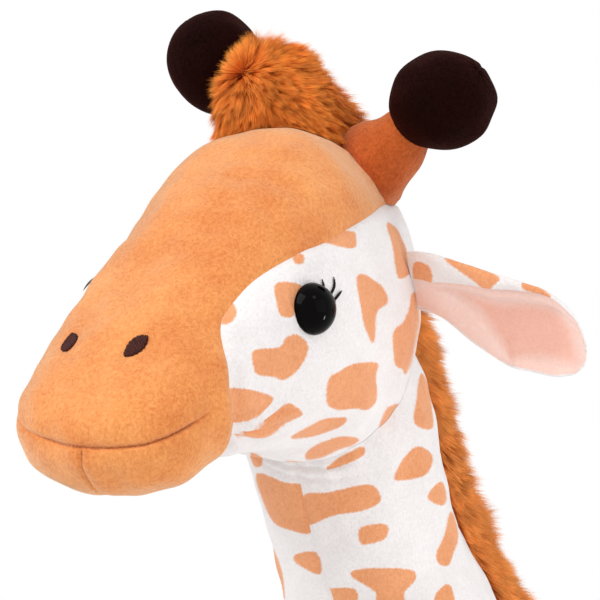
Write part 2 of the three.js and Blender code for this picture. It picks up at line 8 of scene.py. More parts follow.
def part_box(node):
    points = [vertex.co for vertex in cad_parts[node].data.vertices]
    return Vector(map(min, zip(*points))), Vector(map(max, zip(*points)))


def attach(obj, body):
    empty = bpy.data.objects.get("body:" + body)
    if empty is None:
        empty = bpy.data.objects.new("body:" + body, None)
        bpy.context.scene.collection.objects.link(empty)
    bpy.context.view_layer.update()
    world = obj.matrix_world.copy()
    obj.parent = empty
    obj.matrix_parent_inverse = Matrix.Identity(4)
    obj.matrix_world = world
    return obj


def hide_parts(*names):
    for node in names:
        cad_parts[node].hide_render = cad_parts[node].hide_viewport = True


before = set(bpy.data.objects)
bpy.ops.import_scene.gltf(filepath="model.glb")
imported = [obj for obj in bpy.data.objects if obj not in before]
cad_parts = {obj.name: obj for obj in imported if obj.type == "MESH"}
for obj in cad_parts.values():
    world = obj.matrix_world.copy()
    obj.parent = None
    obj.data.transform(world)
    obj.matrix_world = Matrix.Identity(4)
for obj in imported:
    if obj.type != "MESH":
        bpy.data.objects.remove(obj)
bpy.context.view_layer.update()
bpy.ops.object.select_all(action="DESELECT")

# A plush giraffe. Lengths are millimetres until a mesh is made, and MM turns them into metres.
MM = 0.001
SIDES = ((1, "left"), (-1, "right"))
# The plush wall, how far the filling lies within it, how firm it is, and how deep cloth is sewn into cloth.
WALL, FILLING_INSET, FILLING, SEWN_IN = 1.2, 6, 0.8, 0.2

# Where the head sits and how it is turned, as in the solids.
HEAD_PLACE = (0, -170, 600)
HEAD_YAW, HEAD_ROLL, HEAD_PITCH = 10, 2.5, 25
SKULL, SNOUT = -102, 138
CHEEK, MUZZLE = 62, 44.5
CROWN, JAW = 66, 101
MUZZLE_RISE, MUZZLE_DROP = 24.5, 33.5
MOUTH_HEIGHT, MIDDLE_SEAM = 5, 6

EYE_DIAMETER, EYE_BULGE = 22, 9
# How far ahead and up each eye is, and how far it stands off the cloth.
EYE_PLACES = {1: (26.6, 14.4, 0.8), -1: (31, 10.5, -1.6)}
NOSTRIL_AHEAD, NOSTRIL_ACROSS, NOSTRIL_SHIFT = 94, 18, -4.6
NOSTRIL_LENGTH, NOSTRIL_WIDTH = {1: 12, -1: 11}, 7
NOSTRIL_TURN = {1: -31, -1: 18}

BALL_DIAMETER = 47
HORN_ROOTS = {1: (23, 81, 23.2), -1: (-23, 81, 29.6)}
HORN_BALLS = {1: (68.2, 91, 59), -1: (-54.5, 91, 75.5)}
STALK_PLACES, STALK_WIDTHS = [0, 0.29, 0.5, 0.75, 1], [45, 36, 28, 21, 19]
BALL_STRETCH = {1: 1.05, -1: 1.2}
BALL_SQUASH = {1: (1.03, 1.03, 0.96), -1: (0.97, 0.97, 1)}

EAR_BACK, EAR_LENGTH, EAR_HEIGHT, EAR_DROP = 63, 87, 52, 21.5
EAR_WALL, LINING_WALL, EAR_FILLING = 0.6, 0.5, 0.3

NECK_BASE, NECK_TOP = 130, 97
# The neck's hollows beside the mane: depth, where along the neck, and their spread along and round it.
HOLLOW_DEPTH, HOLLOW_PLACE, HOLLOW_LENGTH, HOLLOW_WIDTH = 8, 0.6, 0.127, 0.7
CHEST, RUMP = -62, 182
BODY_HALF, BODY_DEPTH, BODY_HEIGHT = 73, 77, 266
BELLY_HALF = 30
HOOF_HEIGHT, SOLE_WIDTH, SHIN_WIDTH, LEG_TOP_WIDTH = 46, 66, 56, 68
FOOT_SPREAD, HIP_SPREAD = 42, 30
FEET = {"front": (-30, -8), "rear": (138, 126)}
TAIL_LENGTH, TAIL_WIDTH, TAIL_ROOT, TAIL_LEAN = 104, 14, 9, 8

# The solids were moved so that their box is centred: one sole gives by how much.
sole_low, sole_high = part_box("hoof_sole_front_left")
SHIFT = np.array([(sole_low.x + sole_high.x) / 2 / MM - FOOT_SPREAD,
                  (sole_low.y + sole_high.y) / 2 / MM - FEET["front"][0], 0])

# The camera: where it looks, from which side and how far off, and its focal length and picture in pixels.
LOOK_AT = np.array([33.5, -115.7, 598.2])
AZIMUTH, ELEVATION, DISTANCE = math.radians(42), math.radians(5), 900
FOCAL_PIXELS, PICTURE = 1978, 600


def unit(v):
    return v / np.maximum(np.linalg.norm(v, axis=-1, keepdims=True), 1e-12)


def turn(axis, degrees):
    c, s = math.cos(math.radians(degrees)), math.sin(math.radians(degrees))
    rows = {"x": ((1, 0, 0), (0, c, -s), (0, s, c)),
            "y": ((c, 0, s), (0, 1, 0), (-s, 0, c)),
            "z": ((c, -s, 0), (s, c, 0), (0, 0, 1))}
    return np.array(rows[axis])


HEAD_TURN = turn("z", HEAD_YAW) @ turn("y", HEAD_ROLL) @ turn("x", HEAD_PITCH)
HEAD_ORIGIN = np.array(HEAD_PLACE) + SHIFT
CAMERA_BACK = np.array([math.sin(AZIMUTH) * math.cos(ELEVATION),
                        -math.cos(AZIMUTH) * math.cos(ELEVATION),
                        math.sin(ELEVATION)])
CAMERA_RIGHT = np.array([math.cos(AZIMUTH), math.sin(AZIMUTH), 0])
CAMERA_UP = np.cross(CAMERA_BACK, CAMERA_RIGHT)
CAMERA_PLACE = LOOK_AT + DISTANCE * CAMERA_BACK


def from_head(points):
    return points @ HEAD_TURN.T + HEAD_ORIGIN


def to_head(points):
    return (points - HEAD_ORIGIN) @ HEAD_TURN


def in_photo(points, normals):
    """Picture column and row of each point, how much it faces the camera, and millimetres a pixel there."""
    offset = points - LOOK_AT
    depth = DISTANCE - offset @ CAMERA_BACK
    scale = depth / FOCAL_PIXELS
    column = PICTURE / 2 + offset @ CAMERA_RIGHT / scale
    row = PICTURE / 2 - offset @ CAMERA_UP / scale
    facing = (normals * unit(CAMERA_PLACE - points)).sum(-1)
    return column, row, facing, scale


def smooth(places, values, at):
    """A curve through a column of numbers that never overshoots them."""
    places, values = np.asarray(places, float), np.asarray(values, float)
    x = np.clip(at, places[0], places[-1])
    span = np.diff(places)
    rise = np.diff(values) / span
    slope = np.empty_like(values)
    slope[0], slope[-1] = rise[0], rise[-1]
    before, after = rise[:-1], rise[1:]
    same = before * after > 0
    slope[1:-1] = np.where(same, 2 * before * after / np.where(same, before + after, 1), 0)
    i = np.clip(np.searchsorted(places, x, side="right") - 1, 0, len(span) - 1)
    s = (x - places[i]) / span[i]
    return ((1 + 2 * s) * (1 - s) ** 2 * values[i] + s * (1 - s) ** 2 * span[i] * slope[i]
            + s * s * (3 - 2 * s) * values[i + 1] + s * s * (s - 1) * span[i] * slope[i + 1])


def step(low, high, x):
    t = np.clip((x - low) / (high - low), 0, 1)
    return t * t * (3 - 2 * t)


def groove(distance, depth, width):
    return -depth * np.exp(-(distance / width) ** 2)


def seam_dent(distance, depth, width, pull, reach):
    """A narrow groove at a seam, in the broad shallow dent that the seam draws into the filling."""
    return groove(distance, depth, width) + groove(distance, pull, reach)


def wrapped(angle):
    """An angle brought between minus half a turn and half a turn."""
    return (angle + math.pi) % (2 * math.pi) - math.pi


def around(angle, first, second):
    """Directions at each angle, from a first direction towards a second."""
    return np.cos(angle)[..., None] * first + np.sin(angle)[..., None] * second


def closing(along, end=0.06):
    """How wide a closed tube is at each share of its length, rounded over its two ends."""
    return np.sqrt(np.clip(np.minimum(along, 1 - along) / end, 0, 1))


def curve_at(before, start, end, after, t):
    """A point between start and end on the smooth curve through four points."""
    return 0.5 * (2 * start + (end - before) * t + (2 * before - 5 * start + 4 * end - after) * t * t
                  + (3 * start - before - 3 * end + after) * t ** 3)


def ripples(points, wavelength, seed, waves=16):
    """A smooth random field, mostly from -1 to 1, with bumps about one wavelength apart."""
    source = np.random.default_rng(seed)
    directions = unit(source.normal(size=(waves, 3))) * source.uniform(0.7, 1.35, (waves, 1))
    phase = points @ (directions * 2 * math.pi / wavelength).T + source.uniform(0, 2 * math.pi, waves)
    return np.sin(phase).sum(-1) / math.sqrt(waves)


class Form:
    """A padded form: ovals along an axis. A row is place, half width, top, bottom and squareness."""

    def __init__(self, rows):
        rows = np.array(rows, float)
        self.at, self.width = rows[:, 0], rows[:, 1]
        self.middle, self.depth = (rows[:, 2] + rows[:, 3]) / 2, (rows[:, 2] - rows[:, 3]) / 2
        self.power = rows[:, 4]

    def oval(self, at):
        width = np.sqrt(np.maximum(smooth(self.at, self.width ** 2, at), 0))
        depth = np.sqrt(np.maximum(smooth(self.at, self.depth ** 2, at), 0))
        return width, depth, smooth(self.at, self.middle, at), smooth(self.at, self.power, at)

    def surface(self, share, angle, inset=0.0):
        length = self.at[-1] - self.at[0]
        at = self.at[0] + length * share
        width, depth, middle, power = self.oval(at)
        cosine, sine = np.cos(angle), np.sin(angle)
        across = np.maximum(width - inset, 0) * np.sign(cosine) * np.abs(cosine) ** (2 / power)
        up = middle + np.maximum(depth - inset, 0) * np.sign(sine) * np.abs(sine) ** (2 / power)
        return self.at[0] + inset + length * share * (length - 2 * inset) / length, across, up

    def side_at(self, at, height):
        width, depth, middle, power = self.oval(at)
        return width * np.maximum(1 - np.abs((height - middle) / depth) ** power, 0) ** (1 / power)

    def height_at(self, at, across):
        width, depth, middle, power = self.oval(at)
        return middle + depth * np.maximum(1 - np.abs(across / width) ** power, 0) ** (1 / power)

    def field(self, at, across, up):
        """About how far a point is outside the form."""
        width, depth, middle, power = self.oval(at)
        level = (np.abs(across) / np.maximum(width, 0.5)) ** power
        level = (level + (np.abs(up - middle) / np.maximum(depth, 0.5)) ** power) ** (1 / power)
        return np.hypot(across, up - middle) * (1 - 1 / np.maximum(level, 0.05))


head = Form([
    (SKULL, 0, -20, -20, 2),
    (0.94 * SKULL, 0.5 * CHEEK, 0.24 * CROWN, -0.54 * JAW, 2),
    (0.82 * SKULL, 0.7 * CHEEK, 0.58 * CROWN, -0.87 * JAW, 1.95),
    (0.61 * SKULL, 0.83 * CHEEK, 0.83 * CROWN, -0.99 * JAW, 2.15),
    (0.36 * SKULL, 0.94 * CHEEK, CROWN, -JAW, 2.35),
    (0, CHEEK, 0.93 * CROWN, -0.88 * JAW, 2.35),
    (0.25 * SNOUT, 0.94 * CHEEK, 0.78 * CROWN, -0.61 * JAW, 2.3),
    (0.47 * SNOUT, 1.18 * MUZZLE, 1.69 * MUZZLE_RISE, -1.34 * MUZZLE_DROP, 2.2),
    (0.65 * SNOUT, 1.1 * MUZZLE, 1.35 * MUZZLE_RISE, -1.13 * MUZZLE_DROP, 2.2),
    (0.81 * SNOUT, MUZZLE, MUZZLE_RISE, -MUZZLE_DROP, 2.15),
    (0.91 * SNOUT, 0.83 * MUZZLE, 0.64 * MUZZLE_RISE, -0.85 * MUZZLE_DROP, 2.1),
    (0.97 * SNOUT, 0.54 * MUZZLE, 0.2 * MUZZLE_RISE, -0.6 * MUZZLE_DROP, 2),
    (SNOUT, 0, -7, -7, 2),
])
BODY_LONG = RUMP - CHEST
body = Form([
    (CHEST, 0, 0.08 * BODY_DEPTH, 0.08 * BODY_DEPTH, 2),
    (CHEST + 0.03 * BODY_LONG, 0.47 * BODY_HALF, 0.56 * BODY_DEPTH, -0.4 * BODY_DEPTH, 2),
    (CHEST + 0.11 * BODY_LONG, 0.78 * BODY_HALF, 0.84 * BODY_DEPTH, -0.73 * BODY_DEPTH, 2.1),
    (CHEST + 0.23 * BODY_LONG, 0.94 * BODY_HALF, BODY_DEPTH, -0.94 * BODY_DEPTH, 2.2),
    (CHEST + 0.42 * BODY_LONG, BODY_HALF, 0.96 * BODY_DEPTH, -BODY_DEPTH, 2.25),
    (CHEST + 0.62 * BODY_LONG, 0.99 * BODY_HALF, 0.89 * BODY_DEPTH, -BODY_DEPTH, 2.25),
    (CHEST + 0.81 * BODY_LONG, 0.9 * BODY_HALF, 0.84 * BODY_DEPTH, -0.91 * BODY_DEPTH, 2.2),
    (CHEST + 0.93 * BODY_LONG, 0.68 * BODY_HALF, 0.7 * BODY_DEPTH, -0.62 * BODY_DEPTH, 2.1),
    (CHEST + 0.975 * BODY_LONG, 0.41 * BODY_HALF, 0.64 * BODY_DEPTH, -0.1 * BODY_DEPTH, 2),
    (RUMP, 0, 0.36 * BODY_DEPTH, 0.36 * BODY_DEPTH, 2),
])


def head_field(world):
    p = to_head(world)
    return head.field(-p[..., 1], p[..., 0], p[..., 2])


def body_field(world):
    p = world - SHIFT
    return body.field(p[..., 1], p[..., 0], p[..., 2] - BODY_HEIGHT)


NECK_CURVE = [np.array([0, CHEST + 82, BODY_HEIGHT + 4]) + SHIFT,
              np.array([0, CHEST + 25, BODY_HEIGHT + 112]) + SHIFT,
              from_head(np.array([0, 56, -140])),
              from_head(np.array([0, 46, -26]))]
NECK_WIDTHS = [0.88 * NECK_BASE, NECK_BASE, 0.88 * NECK_BASE, 0.8 * NECK_BASE, NECK_TOP, 0.9 * NECK_TOP]


def neck_frame(u):
    """Centre, side and back directions and radius of the neck along its length."""
    a, b, c, d = NECK_CURVE
    t = np.asarray(u, float)[..., None]
    centre = (1 - t) ** 3 * a + 3 * t * (1 - t) ** 2 * b + 3 * t * t * (1 - t) * c + t ** 3 * d
    ahead = unit(3 * (1 - t) ** 2 * (b - a) + 6 * t * (1 - t) * (c - b) + 3 * t * t * (d - c))
    side = unit(np.array([1.0, 0, 0]) - ahead * ahead[..., :1])
    back = np.cross(ahead, side)
    radius = smooth([0, 0.13, 0.3, 0.5, 0.75, 1], NECK_WIDTHS, u) / 2
    return centre, side, back, radius


def neck_hollow(angle, u):
    """How far the neck is drawn in on each side of the mane, below the head."""
    sides = sum(np.exp(-(wrapped(angle - middle) / HOLLOW_WIDTH) ** 2)
                for middle in (0.25 * math.pi, 0.75 * math.pi))
    return -HOLLOW_DEPTH * sides * np.exp(-((u - HOLLOW_PLACE) / HOLLOW_LENGTH) ** 2)


def neck_field(world):
    """About how far a point is outside the neck."""
    us = np.linspace(0, 1, 60)
    centre, side, back, radius = neck_frame(us)
    gaps = np.linalg.norm(world[:, None, :] - centre[None], axis=2) - radius
    near = gaps.argmin(1)
    offset = world - centre[near]
    angle = np.arctan2((offset * back[near]).sum(1), (offset * side[near]).sum(1))
    return gaps.min(1) - neck_hollow(angle, us[near])


# Meshes.
def arrays(obj):
    """Points and triangles of an object, which is then removed."""
    obj.data.calc_loop_triangles()
    points = np.empty(len(obj.data.vertices) * 3)
    obj.data.vertices.foreach_get("co", points)
    faces = np.empty(len(obj.data.loop_triangles) * 3, np.int32)
    obj.data.loop_triangles.foreach_get("vertices", faces)
    mesh = obj.data
    bpy.data.objects.remove(obj)
    bpy.data.meshes.remove(mesh)
    return points.reshape(-1, 3), faces.reshape(-1, 3)


def in_order(faces):
    """Triangles that each start at their lowest point and are sorted, as a ball's own order varies by run."""
    corners = (faces.argmin(1)[:, None] + np.arange(3)) % 3
    turned = np.take_along_axis(faces, corners, 1)
    return turned[np.lexsort(turned.T[::-1])]


def ball_start(segments, rings):
    """A round ball to be shaped: its points, the share along and angle round of each, and its faces."""
    bpy.ops.mesh.primitive_uv_sphere_add(segments=segments, ring_count=rings, radius=1)
    points, faces = arrays(bpy.context.object)
    return points, (1 - points[:, 2]) / 2, np.arctan2(points[:, 1], points[:, 0]), in_order(faces)


def sheet_start(columns, rows):
    """A flat sheet to be rolled: for each point its share round and its share along, and the faces."""
    bpy.ops.mesh.primitive_grid_add(x_subdivisions=columns, y_subdivisions=rows, size=2)
    points, faces = arrays(bpy.context.object)
    return (points[:, 0] + 1) / 2, (points[:, 1] + 1) / 2, faces


def face_normals(points, faces):
    a, b, c = points[faces[:, 0]], points[faces[:, 1]], points[faces[:, 2]]
    return np.cross(b - a, c - a)


def point_normals(points, faces):
    each = face_normals(points, faces)
    total = np.zeros_like(points)
    for k in range(3):
        np.add.at(total, faces[:, k], each)
    return unit(total)


def outward(points, faces, inner):
    """The faces turned so that they look away from the inner points."""
    middle = points[faces].mean(1) - inner[faces].mean(1)
    if (face_normals(points, faces) * middle).sum() < 0:
        return faces[:, ::-1]
    return faces


def cut(columns, faces, field):
    """The mesh cut along the field's zero line: its points, and the faces above and below."""
    field = np.where(np.abs(field) < 0.02, 0, field)
    signs = np.sign(field)[faces]
    above = faces[(signs >= 0).all(1)]
    below = faces[(signs <= 0).all(1) & ~(signs >= 0).all(1)]
    crossed = faces[(signs.min(1) < 0) & (signs.max(1) > 0)]
    made, extra, sides = {}, [], {1: [], -1: []}

    def between(a, b):
        key = (min(a, b), max(a, b))
        if key not in made:
            share = field[key[0]] / (field[key[0]] - field[key[1]])
            made[key] = len(columns) + len(extra)
            extra.append(columns[key[0]] * (1 - share) + columns[key[1]] * share)
        return made[key]

    for face in crossed.tolist():
        for side, out in sides.items():
            loop = []
            for k in range(3):
                a, b = face[k], face[(k + 1) % 3]
                if field[a] * side >= 0:
                    loop.append(a)
                if field[a] * field[b] < 0:
                    loop.append(between(a, b))
            out.extend((loop[0], loop[k], loop[k + 1]) for k in range(1, len(loop) - 1))
    if extra:
        columns = np.vstack([columns, extra])
    upper = np.vstack([above, np.array(sides[1], int).reshape(-1, 3)])
    lower = np.vstack([below, np.array(sides[-1], int).reshape(-1, 3)])
    return columns, upper, lower


def outward_from(points, faces, centre):
    """Points and faces, these turned so that they look away from one centre."""
    return points, outward(points, faces, np.repeat(np.atleast_2d(centre), len(points), 0))


def shaped_ball(form, segments, rings, forward, inset=0.0):
    """A ball shaped by a form whose axis runs along y, forward 1 or -1."""
    _, share, angle, faces = ball_start(segments, rings)
    along, across, up = form.surface(share, angle, inset)
    p = np.stack([across, forward * along, up], 1)
    return p, outward(p, faces, np.stack([0 * along, forward * along, form.oval(along)[2]], 1))


def nearest_tree(points):
    """A search tree that gives the number of the nearest of some points."""
    tree = kdtree.KDTree(max(len(points), 1))
    for k, point in enumerate(points):
        tree.insert(Vector(point), k)
    tree.balance()
    return tree


def kept(columns, faces):
    used, faces = np.unique(faces, return_inverse=True)
    return columns[used], faces.reshape(-1, 3)


# Points closer than this, in metres, are one, and edges between faces that turn by less degrees are smooth.
WELD, SMOOTH_BELOW = 2e-6, 60


def make_piece(name, points, faces, material, rides, stands_for=(), wall=0.0,
               values=None, tints=None):
    """A mesh object from points in millimetres, given its wall, body, finish and the node it stands for."""
    mesh = bpy.data.meshes.new(name)
    mesh.from_pydata((points * MM).tolist(), [], faces.tolist())
    for key, column in (values or {}).items():
        attribute = mesh.attributes.new(key, "FLOAT", "POINT")
        attribute.data.foreach_set("value", column.astype(np.float32))
    if tints is not None:
        layer = mesh.uv_layers.new(name="OFBake")
        corners = tints[faces.reshape(-1)]
        layer.data.foreach_set("uv", corners.astype(np.float32).ravel())
    obj = bpy.data.objects.new(name, mesh)
    bpy.context.scene.collection.objects.link(obj)
    if tints is None:
        loose = bmesh.new()
        loose.from_mesh(mesh)
        bmesh.ops.remove_doubles(loose, verts=loose.verts, dist=WELD)
        bmesh.ops.dissolve_degenerate(loose, edges=loose.edges, dist=WELD / 2)
        loose.to_mesh(mesh)
        loose.free()
    mesh.polygons.foreach_set("use_smooth", [True] * len(mesh.polygons))
    mesh.materials.append(material)
    if wall:
        bpy.context.view_layer.objects.active = obj
        bpy.ops.object.modifier_add(type="SOLIDIFY")
        solidify = obj.modifiers[-1]
        solidify.thickness = wall * MM
        solidify.offset = -1
        bpy.ops.object.modifier_apply(modifier=solidify.name)
        obj.select_set(True)
        bpy.ops.object.shade_smooth_by_angle(angle=math.radians(SMOOTH_BELOW))
        obj.select_set(False)
    finish_piece(obj, rides, stands_for)
    return obj


def finish_piece(obj, rides, stands_for=()):
    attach(obj, rides)
    if stands_for:
        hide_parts(*stands_for)


# Printed spots.
def rounded(outline, steps=4):
    """A closed curve through an outline's points."""
    p = np.array(outline, float)
    before, after, later = np.roll(p, 1, 0), np.roll(p, -1, 0), np.roll(p, -2, 0)
    rows = [curve_at(before, p, after, later, k / steps) for k in range(steps)]
    return np.stack(rows, 1).reshape(-1, 2)


def outline_distance(points, outline):
    """Distance from flat points to a closed outline, negative inside."""
    following = np.roll(outline, -1, 0)
    edge = following - outline
    offset = points[:, None, :] - outline[None]
    share = np.clip((offset * edge).sum(2) / np.maximum((edge ** 2).sum(1), 1e-9), 0, 1)
    near = np.sqrt(((offset - share[..., None] * edge) ** 2).sum(2)).min(1)
    row = points[:, 1][:, None]
    straddles = (outline[:, 1] > row) != (following[:, 1] > row)
    rise = np.where(edge[:, 1] == 0, 1e-9, edge[:, 1])
    crossing = outline[:, 0] + (row - outline[:, 1]) * edge[:, 0] / rise
    inside = (straddles & (points[:, 0][:, None] < crossing)).sum(1) % 2 == 1
    return np.where(inside, -near, near)


# Spots that the photograph shows, as outlines in its pixels.
HEAD_SPOTS = [
    [(326, 238), (337, 230), (354, 232), (356, 238), (355, 247), (339, 245)],
    [(387, 224), (393, 225), (406, 240), (412, 256), (410, 272), (402, 278), (398, 275),
     (394, 251), (388, 232)],
    [(359, 276), (369, 276), (383, 286), (389, 299), (387, 304), (377, 312), (375, 331),
     (371, 343), (366, 331),
     (363, 312), (360, 296)],
    [(277, 283), (302, 286), (296, 296), (294, 315), (281, 315), (277, 302)],
    [(232, 302), (236, 307), (236, 315), (230, 322), (223, 321), (227, 310)],
    [(296, 255), (304, 253), (304, 262), (297, 262)],
    [(255, 351), (280, 348), (286, 339), (297, 335), (308, 343), (308, 353), (299, 369),
     (286, 380), (276, 377),
     (259, 374), (255, 366)],
    [(230, 390), (248, 390), (267, 395), (273, 399), (267, 410), (254, 420), (230, 430),
     (226, 408)],
    [(288, 404), (302, 414), (289, 423), (270, 434), (245, 444), (264, 426), (275, 414)],
    [(329, 380), (339, 372), (353, 364), (375, 363), (374, 375), (375, 399), (366, 409),
     (356, 407), (329, 406)],
    [(411, 295), (418, 297), (418, 328), (412, 359), (407, 374), (404, 369), (396, 363),
     (395, 332), (406, 320)],
    [(397, 404), (398, 412), (391, 425), (380, 431), (380, 420), (388, 407)],
    [(345, 417), (340, 426), (326, 433), (304, 439), (292, 439), (312, 425), (328, 418)],
    [(358, 439), (350, 446), (322, 455), (306, 457), (312, 448), (340, 439)],
    [(363, 447), (363, 455), (345, 464), (327, 469), (338, 459), (353, 451)],
    [(284, 462), (302, 462), (315, 469), (310, 471), (297, 470)],
    [(251, 455), (261, 457), (261, 465), (255, 466)],
]
NECK_SPOTS_LEFT = [
    [(304, 496), (328, 493), (368, 485), (379, 494), (379, 502), (363, 510), (333, 515),
     (306, 524)],
    [(361, 528), (386, 525), (385, 538), (371, 543), (361, 543)],
    [(395, 476), (404, 459), (417, 447), (431, 454), (431, 466), (422, 476), (399, 480)],
    [(428, 497), (441, 482), (446, 497), (442, 505)],
    [(451, 512), (458, 535), (453, 553), (448, 565), (439, 563), (437, 553), (445, 535)],
    [(351, 575), (366, 569), (409, 570), (415, 579), (404, 592), (402, 606), (376, 608),
     (376, 592)],
    [(312, 585), (325, 589), (353, 589), (356, 602), (335, 612), (314, 606)],
    [(435, 597), (446, 585), (452, 590), (453, 608), (437, 612)],
    [(421, 374), (428, 387), (431, 406), (432, 428), (415, 423), (417, 400)],
    [(363, 447), (363, 455), (345, 464), (327, 469), (338, 459), (353, 451)],
]
NECK_SPOTS_RIGHT = [
    [(257, 474), (284, 483), (306, 489), (312, 531), (289, 529), (274, 522), (264, 502)],
    [(296, 555), (316, 553), (320, 574), (297, 563)],
    [(268, 546), (274, 551), (282, 574), (284, 599), (279, 589), (272, 563)],
    [(251, 455), (261, 457), (261, 465), (255, 466)],
]
EAR_SPOTS = [
    [(414, 264), (426, 265), (431, 273), (430, 284), (416, 288)],
    [(445, 259), (472, 266), (498, 277), (493, 285), (486, 290), (472, 279)],
    [(523, 283), (534, 285), (549, 295), (547, 298), (536, 293), (524, 289)],
]
# How far a photographed spot's edge spreads, and how far past the picture's side and foot it may reach.
SPOT_BLEED, SIDE_MARGIN, FOOT_MARGIN = 0.3, 20, 18
# A cloth that turns away from the camera keeps its photographed spots down to the first of these, and they
# shrink from the second on, by so many millimetres.
FACING_LEAST, FACING_FADE, FADE_RATE = -0.2, -0.12, 50
UNSPOTTED = 60.0
SPOT_TRIES, SPOT_GAP = 4000, 3


def printed(points, normals, outlines, seed, spacing, smallest, largest):
    """How far each point is outside the nearest printed spot.

    Photographed spots are laid where they show, and seeded ones of the same kind everywhere else."""
    column, row, facing, scale = in_photo(points, normals)
    shows = (facing > FACING_LEAST) & (row > 0) & (row < PICTURE + FOOT_MARGIN)
    shows &= (column > -SIDE_MARGIN) & (column < PICTURE + SIDE_MARGIN)
    if not outlines:
        shows[:] = False
    result = np.full(len(points), UNSPOTTED)
    flat = np.stack([column, row], 1)
    for outline in outlines:
        curve = rounded(outline)
        low, high = curve.min(0) - 12, curve.max(0) + 12
        near = shows & (flat > low).all(1) & (flat < high).all(1)
        if near.any():
            away = outline_distance(flat[near], curve) * scale[near] - SPOT_BLEED
            result[near] = np.minimum(result[near], away)
    faded = np.maximum(result, (FACING_FADE - facing) * FADE_RATE - 3)
    result = np.where(facing < FACING_FADE, faded, result)
    source = np.random.default_rng(seed)
    shown = np.flatnonzero(shows)
    tree = nearest_tree(points[shown[::3]])
    centres = []
    for i in source.permutation(np.flatnonzero(~shows))[:SPOT_TRIES]:
        radius = source.uniform(smallest, largest)
        if len(shown) and (tree.find(Vector(points[i]))[2] or UNSPOTTED) < radius + SPOT_GAP:
            continue
        if all(np.linalg.norm(points[i] - c) > spacing + (radius + r) * 1.1 for c, r in centres):
            centres.append((points[i], radius))
    bend = points + 2.2 * np.stack([ripples(points, 19, seed + k) for k in (1, 2, 3)], 1)
    for centre, radius in centres:
        offset = bend - centre
        grain = unit(source.normal(size=3))
        offset = offset - 0.42 * (offset @ grain)[:, None] * grain
        shape = 1 + 0.13 * ripples(unit(offset) * 10, 13, int(radius * 1e4) % 997)
        away = np.linalg.norm(offset, axis=1) - radius * shape
        result = np.where(shows, result, np.minimum(result, away))
    return result


# Colours, from the numbers that a picture program shows.
def colour(red, green, blue):
    def linear(c):
        c /= 255
        return c / 12.92 if c <= 0.04045 else ((c + 0.055) / 1.055) ** 2.4
    return (linear(red), linear(green), linear(blue), 1)


def new_group(name, inputs, outputs):
    group = bpy.data.node_groups.new(name, "ShaderNodeTree")
    for label, kind, value in inputs:
        socket = group.interface.new_socket(label, in_out="INPUT", socket_type=kind)
        socket.default_value = value
    for label, kind in outputs:
        group.interface.new_socket(label, in_out="OUTPUT", socket_type=kind)
    return group, group.nodes.new("NodeGroupInput"), group.nodes.new("NodeGroupOutput")


def node(tree, kind, **settings):
    made = tree.nodes.new(kind)
    for key, value in settings.items():
        setattr(made, key, value)
    return made


def set_inputs(made, values):
    for label, value in values.items():
        made.inputs[label].default_value = value


def object_place(tree):
    return node(tree, "ShaderNodeTexCoord").outputs["Object"]


def noise_at(tree, vector, scale, detail=2.0, roughness=0.55, distortion=0.0):
    texture = node(tree, "ShaderNodeTexNoise")
    set_inputs(texture, {"Scale": scale, "Detail": detail, "Roughness": roughness, "Distortion": distortion})
    tree.links.new(vector, texture.inputs["Vector"])
    return texture.outputs["Fac"]


def maths(tree, operation, first, second=None, clamp=False):
    made = node(tree, "ShaderNodeMath", operation=operation, use_clamp=clamp)
    for k, value in enumerate((first, second)):
        if value is None:
            continue
        if isinstance(value, (int, float)):
            made.inputs[k].default_value = value
        else:
            tree.links.new(value, made.inputs[k])
    return made.outputs[0]


def spread(tree, value, low, high, to_low=0.0, to_high=1.0, kind="LINEAR"):
    made = node(tree, "ShaderNodeMapRange", interpolation_type=kind)
    tree.links.new(value, made.inputs["Value"])
    set_inputs(made, {"From Min": low, "From Max": high, "To Min": to_low, "To Max": to_high})
    return made.outputs["Result"]


def weighed(tree, parts):
    """The sum of some values, each times its weight."""
    total = 0.0
    for value, weight in parts:
        total = maths(tree, "ADD", total, maths(tree, "MULTIPLY", value, weight))
    return total


def mixed(tree, share, first, second):
    made = node(tree, "ShaderNodeMix", data_type="RGBA")
    for socket, value in ((made.inputs["Factor"], share), (made.inputs[6], first), (made.inputs[7], second)):
        if isinstance(value, (int, float, tuple)):
            socket.default_value = value
        else:
            tree.links.new(value, socket)
    return made.outputs[2]


# Sizes of the pile's noises, a metre holding so many of them.
FIBRES, TUFTS, PATCHES, NAP = 1500, 620, 130, 34


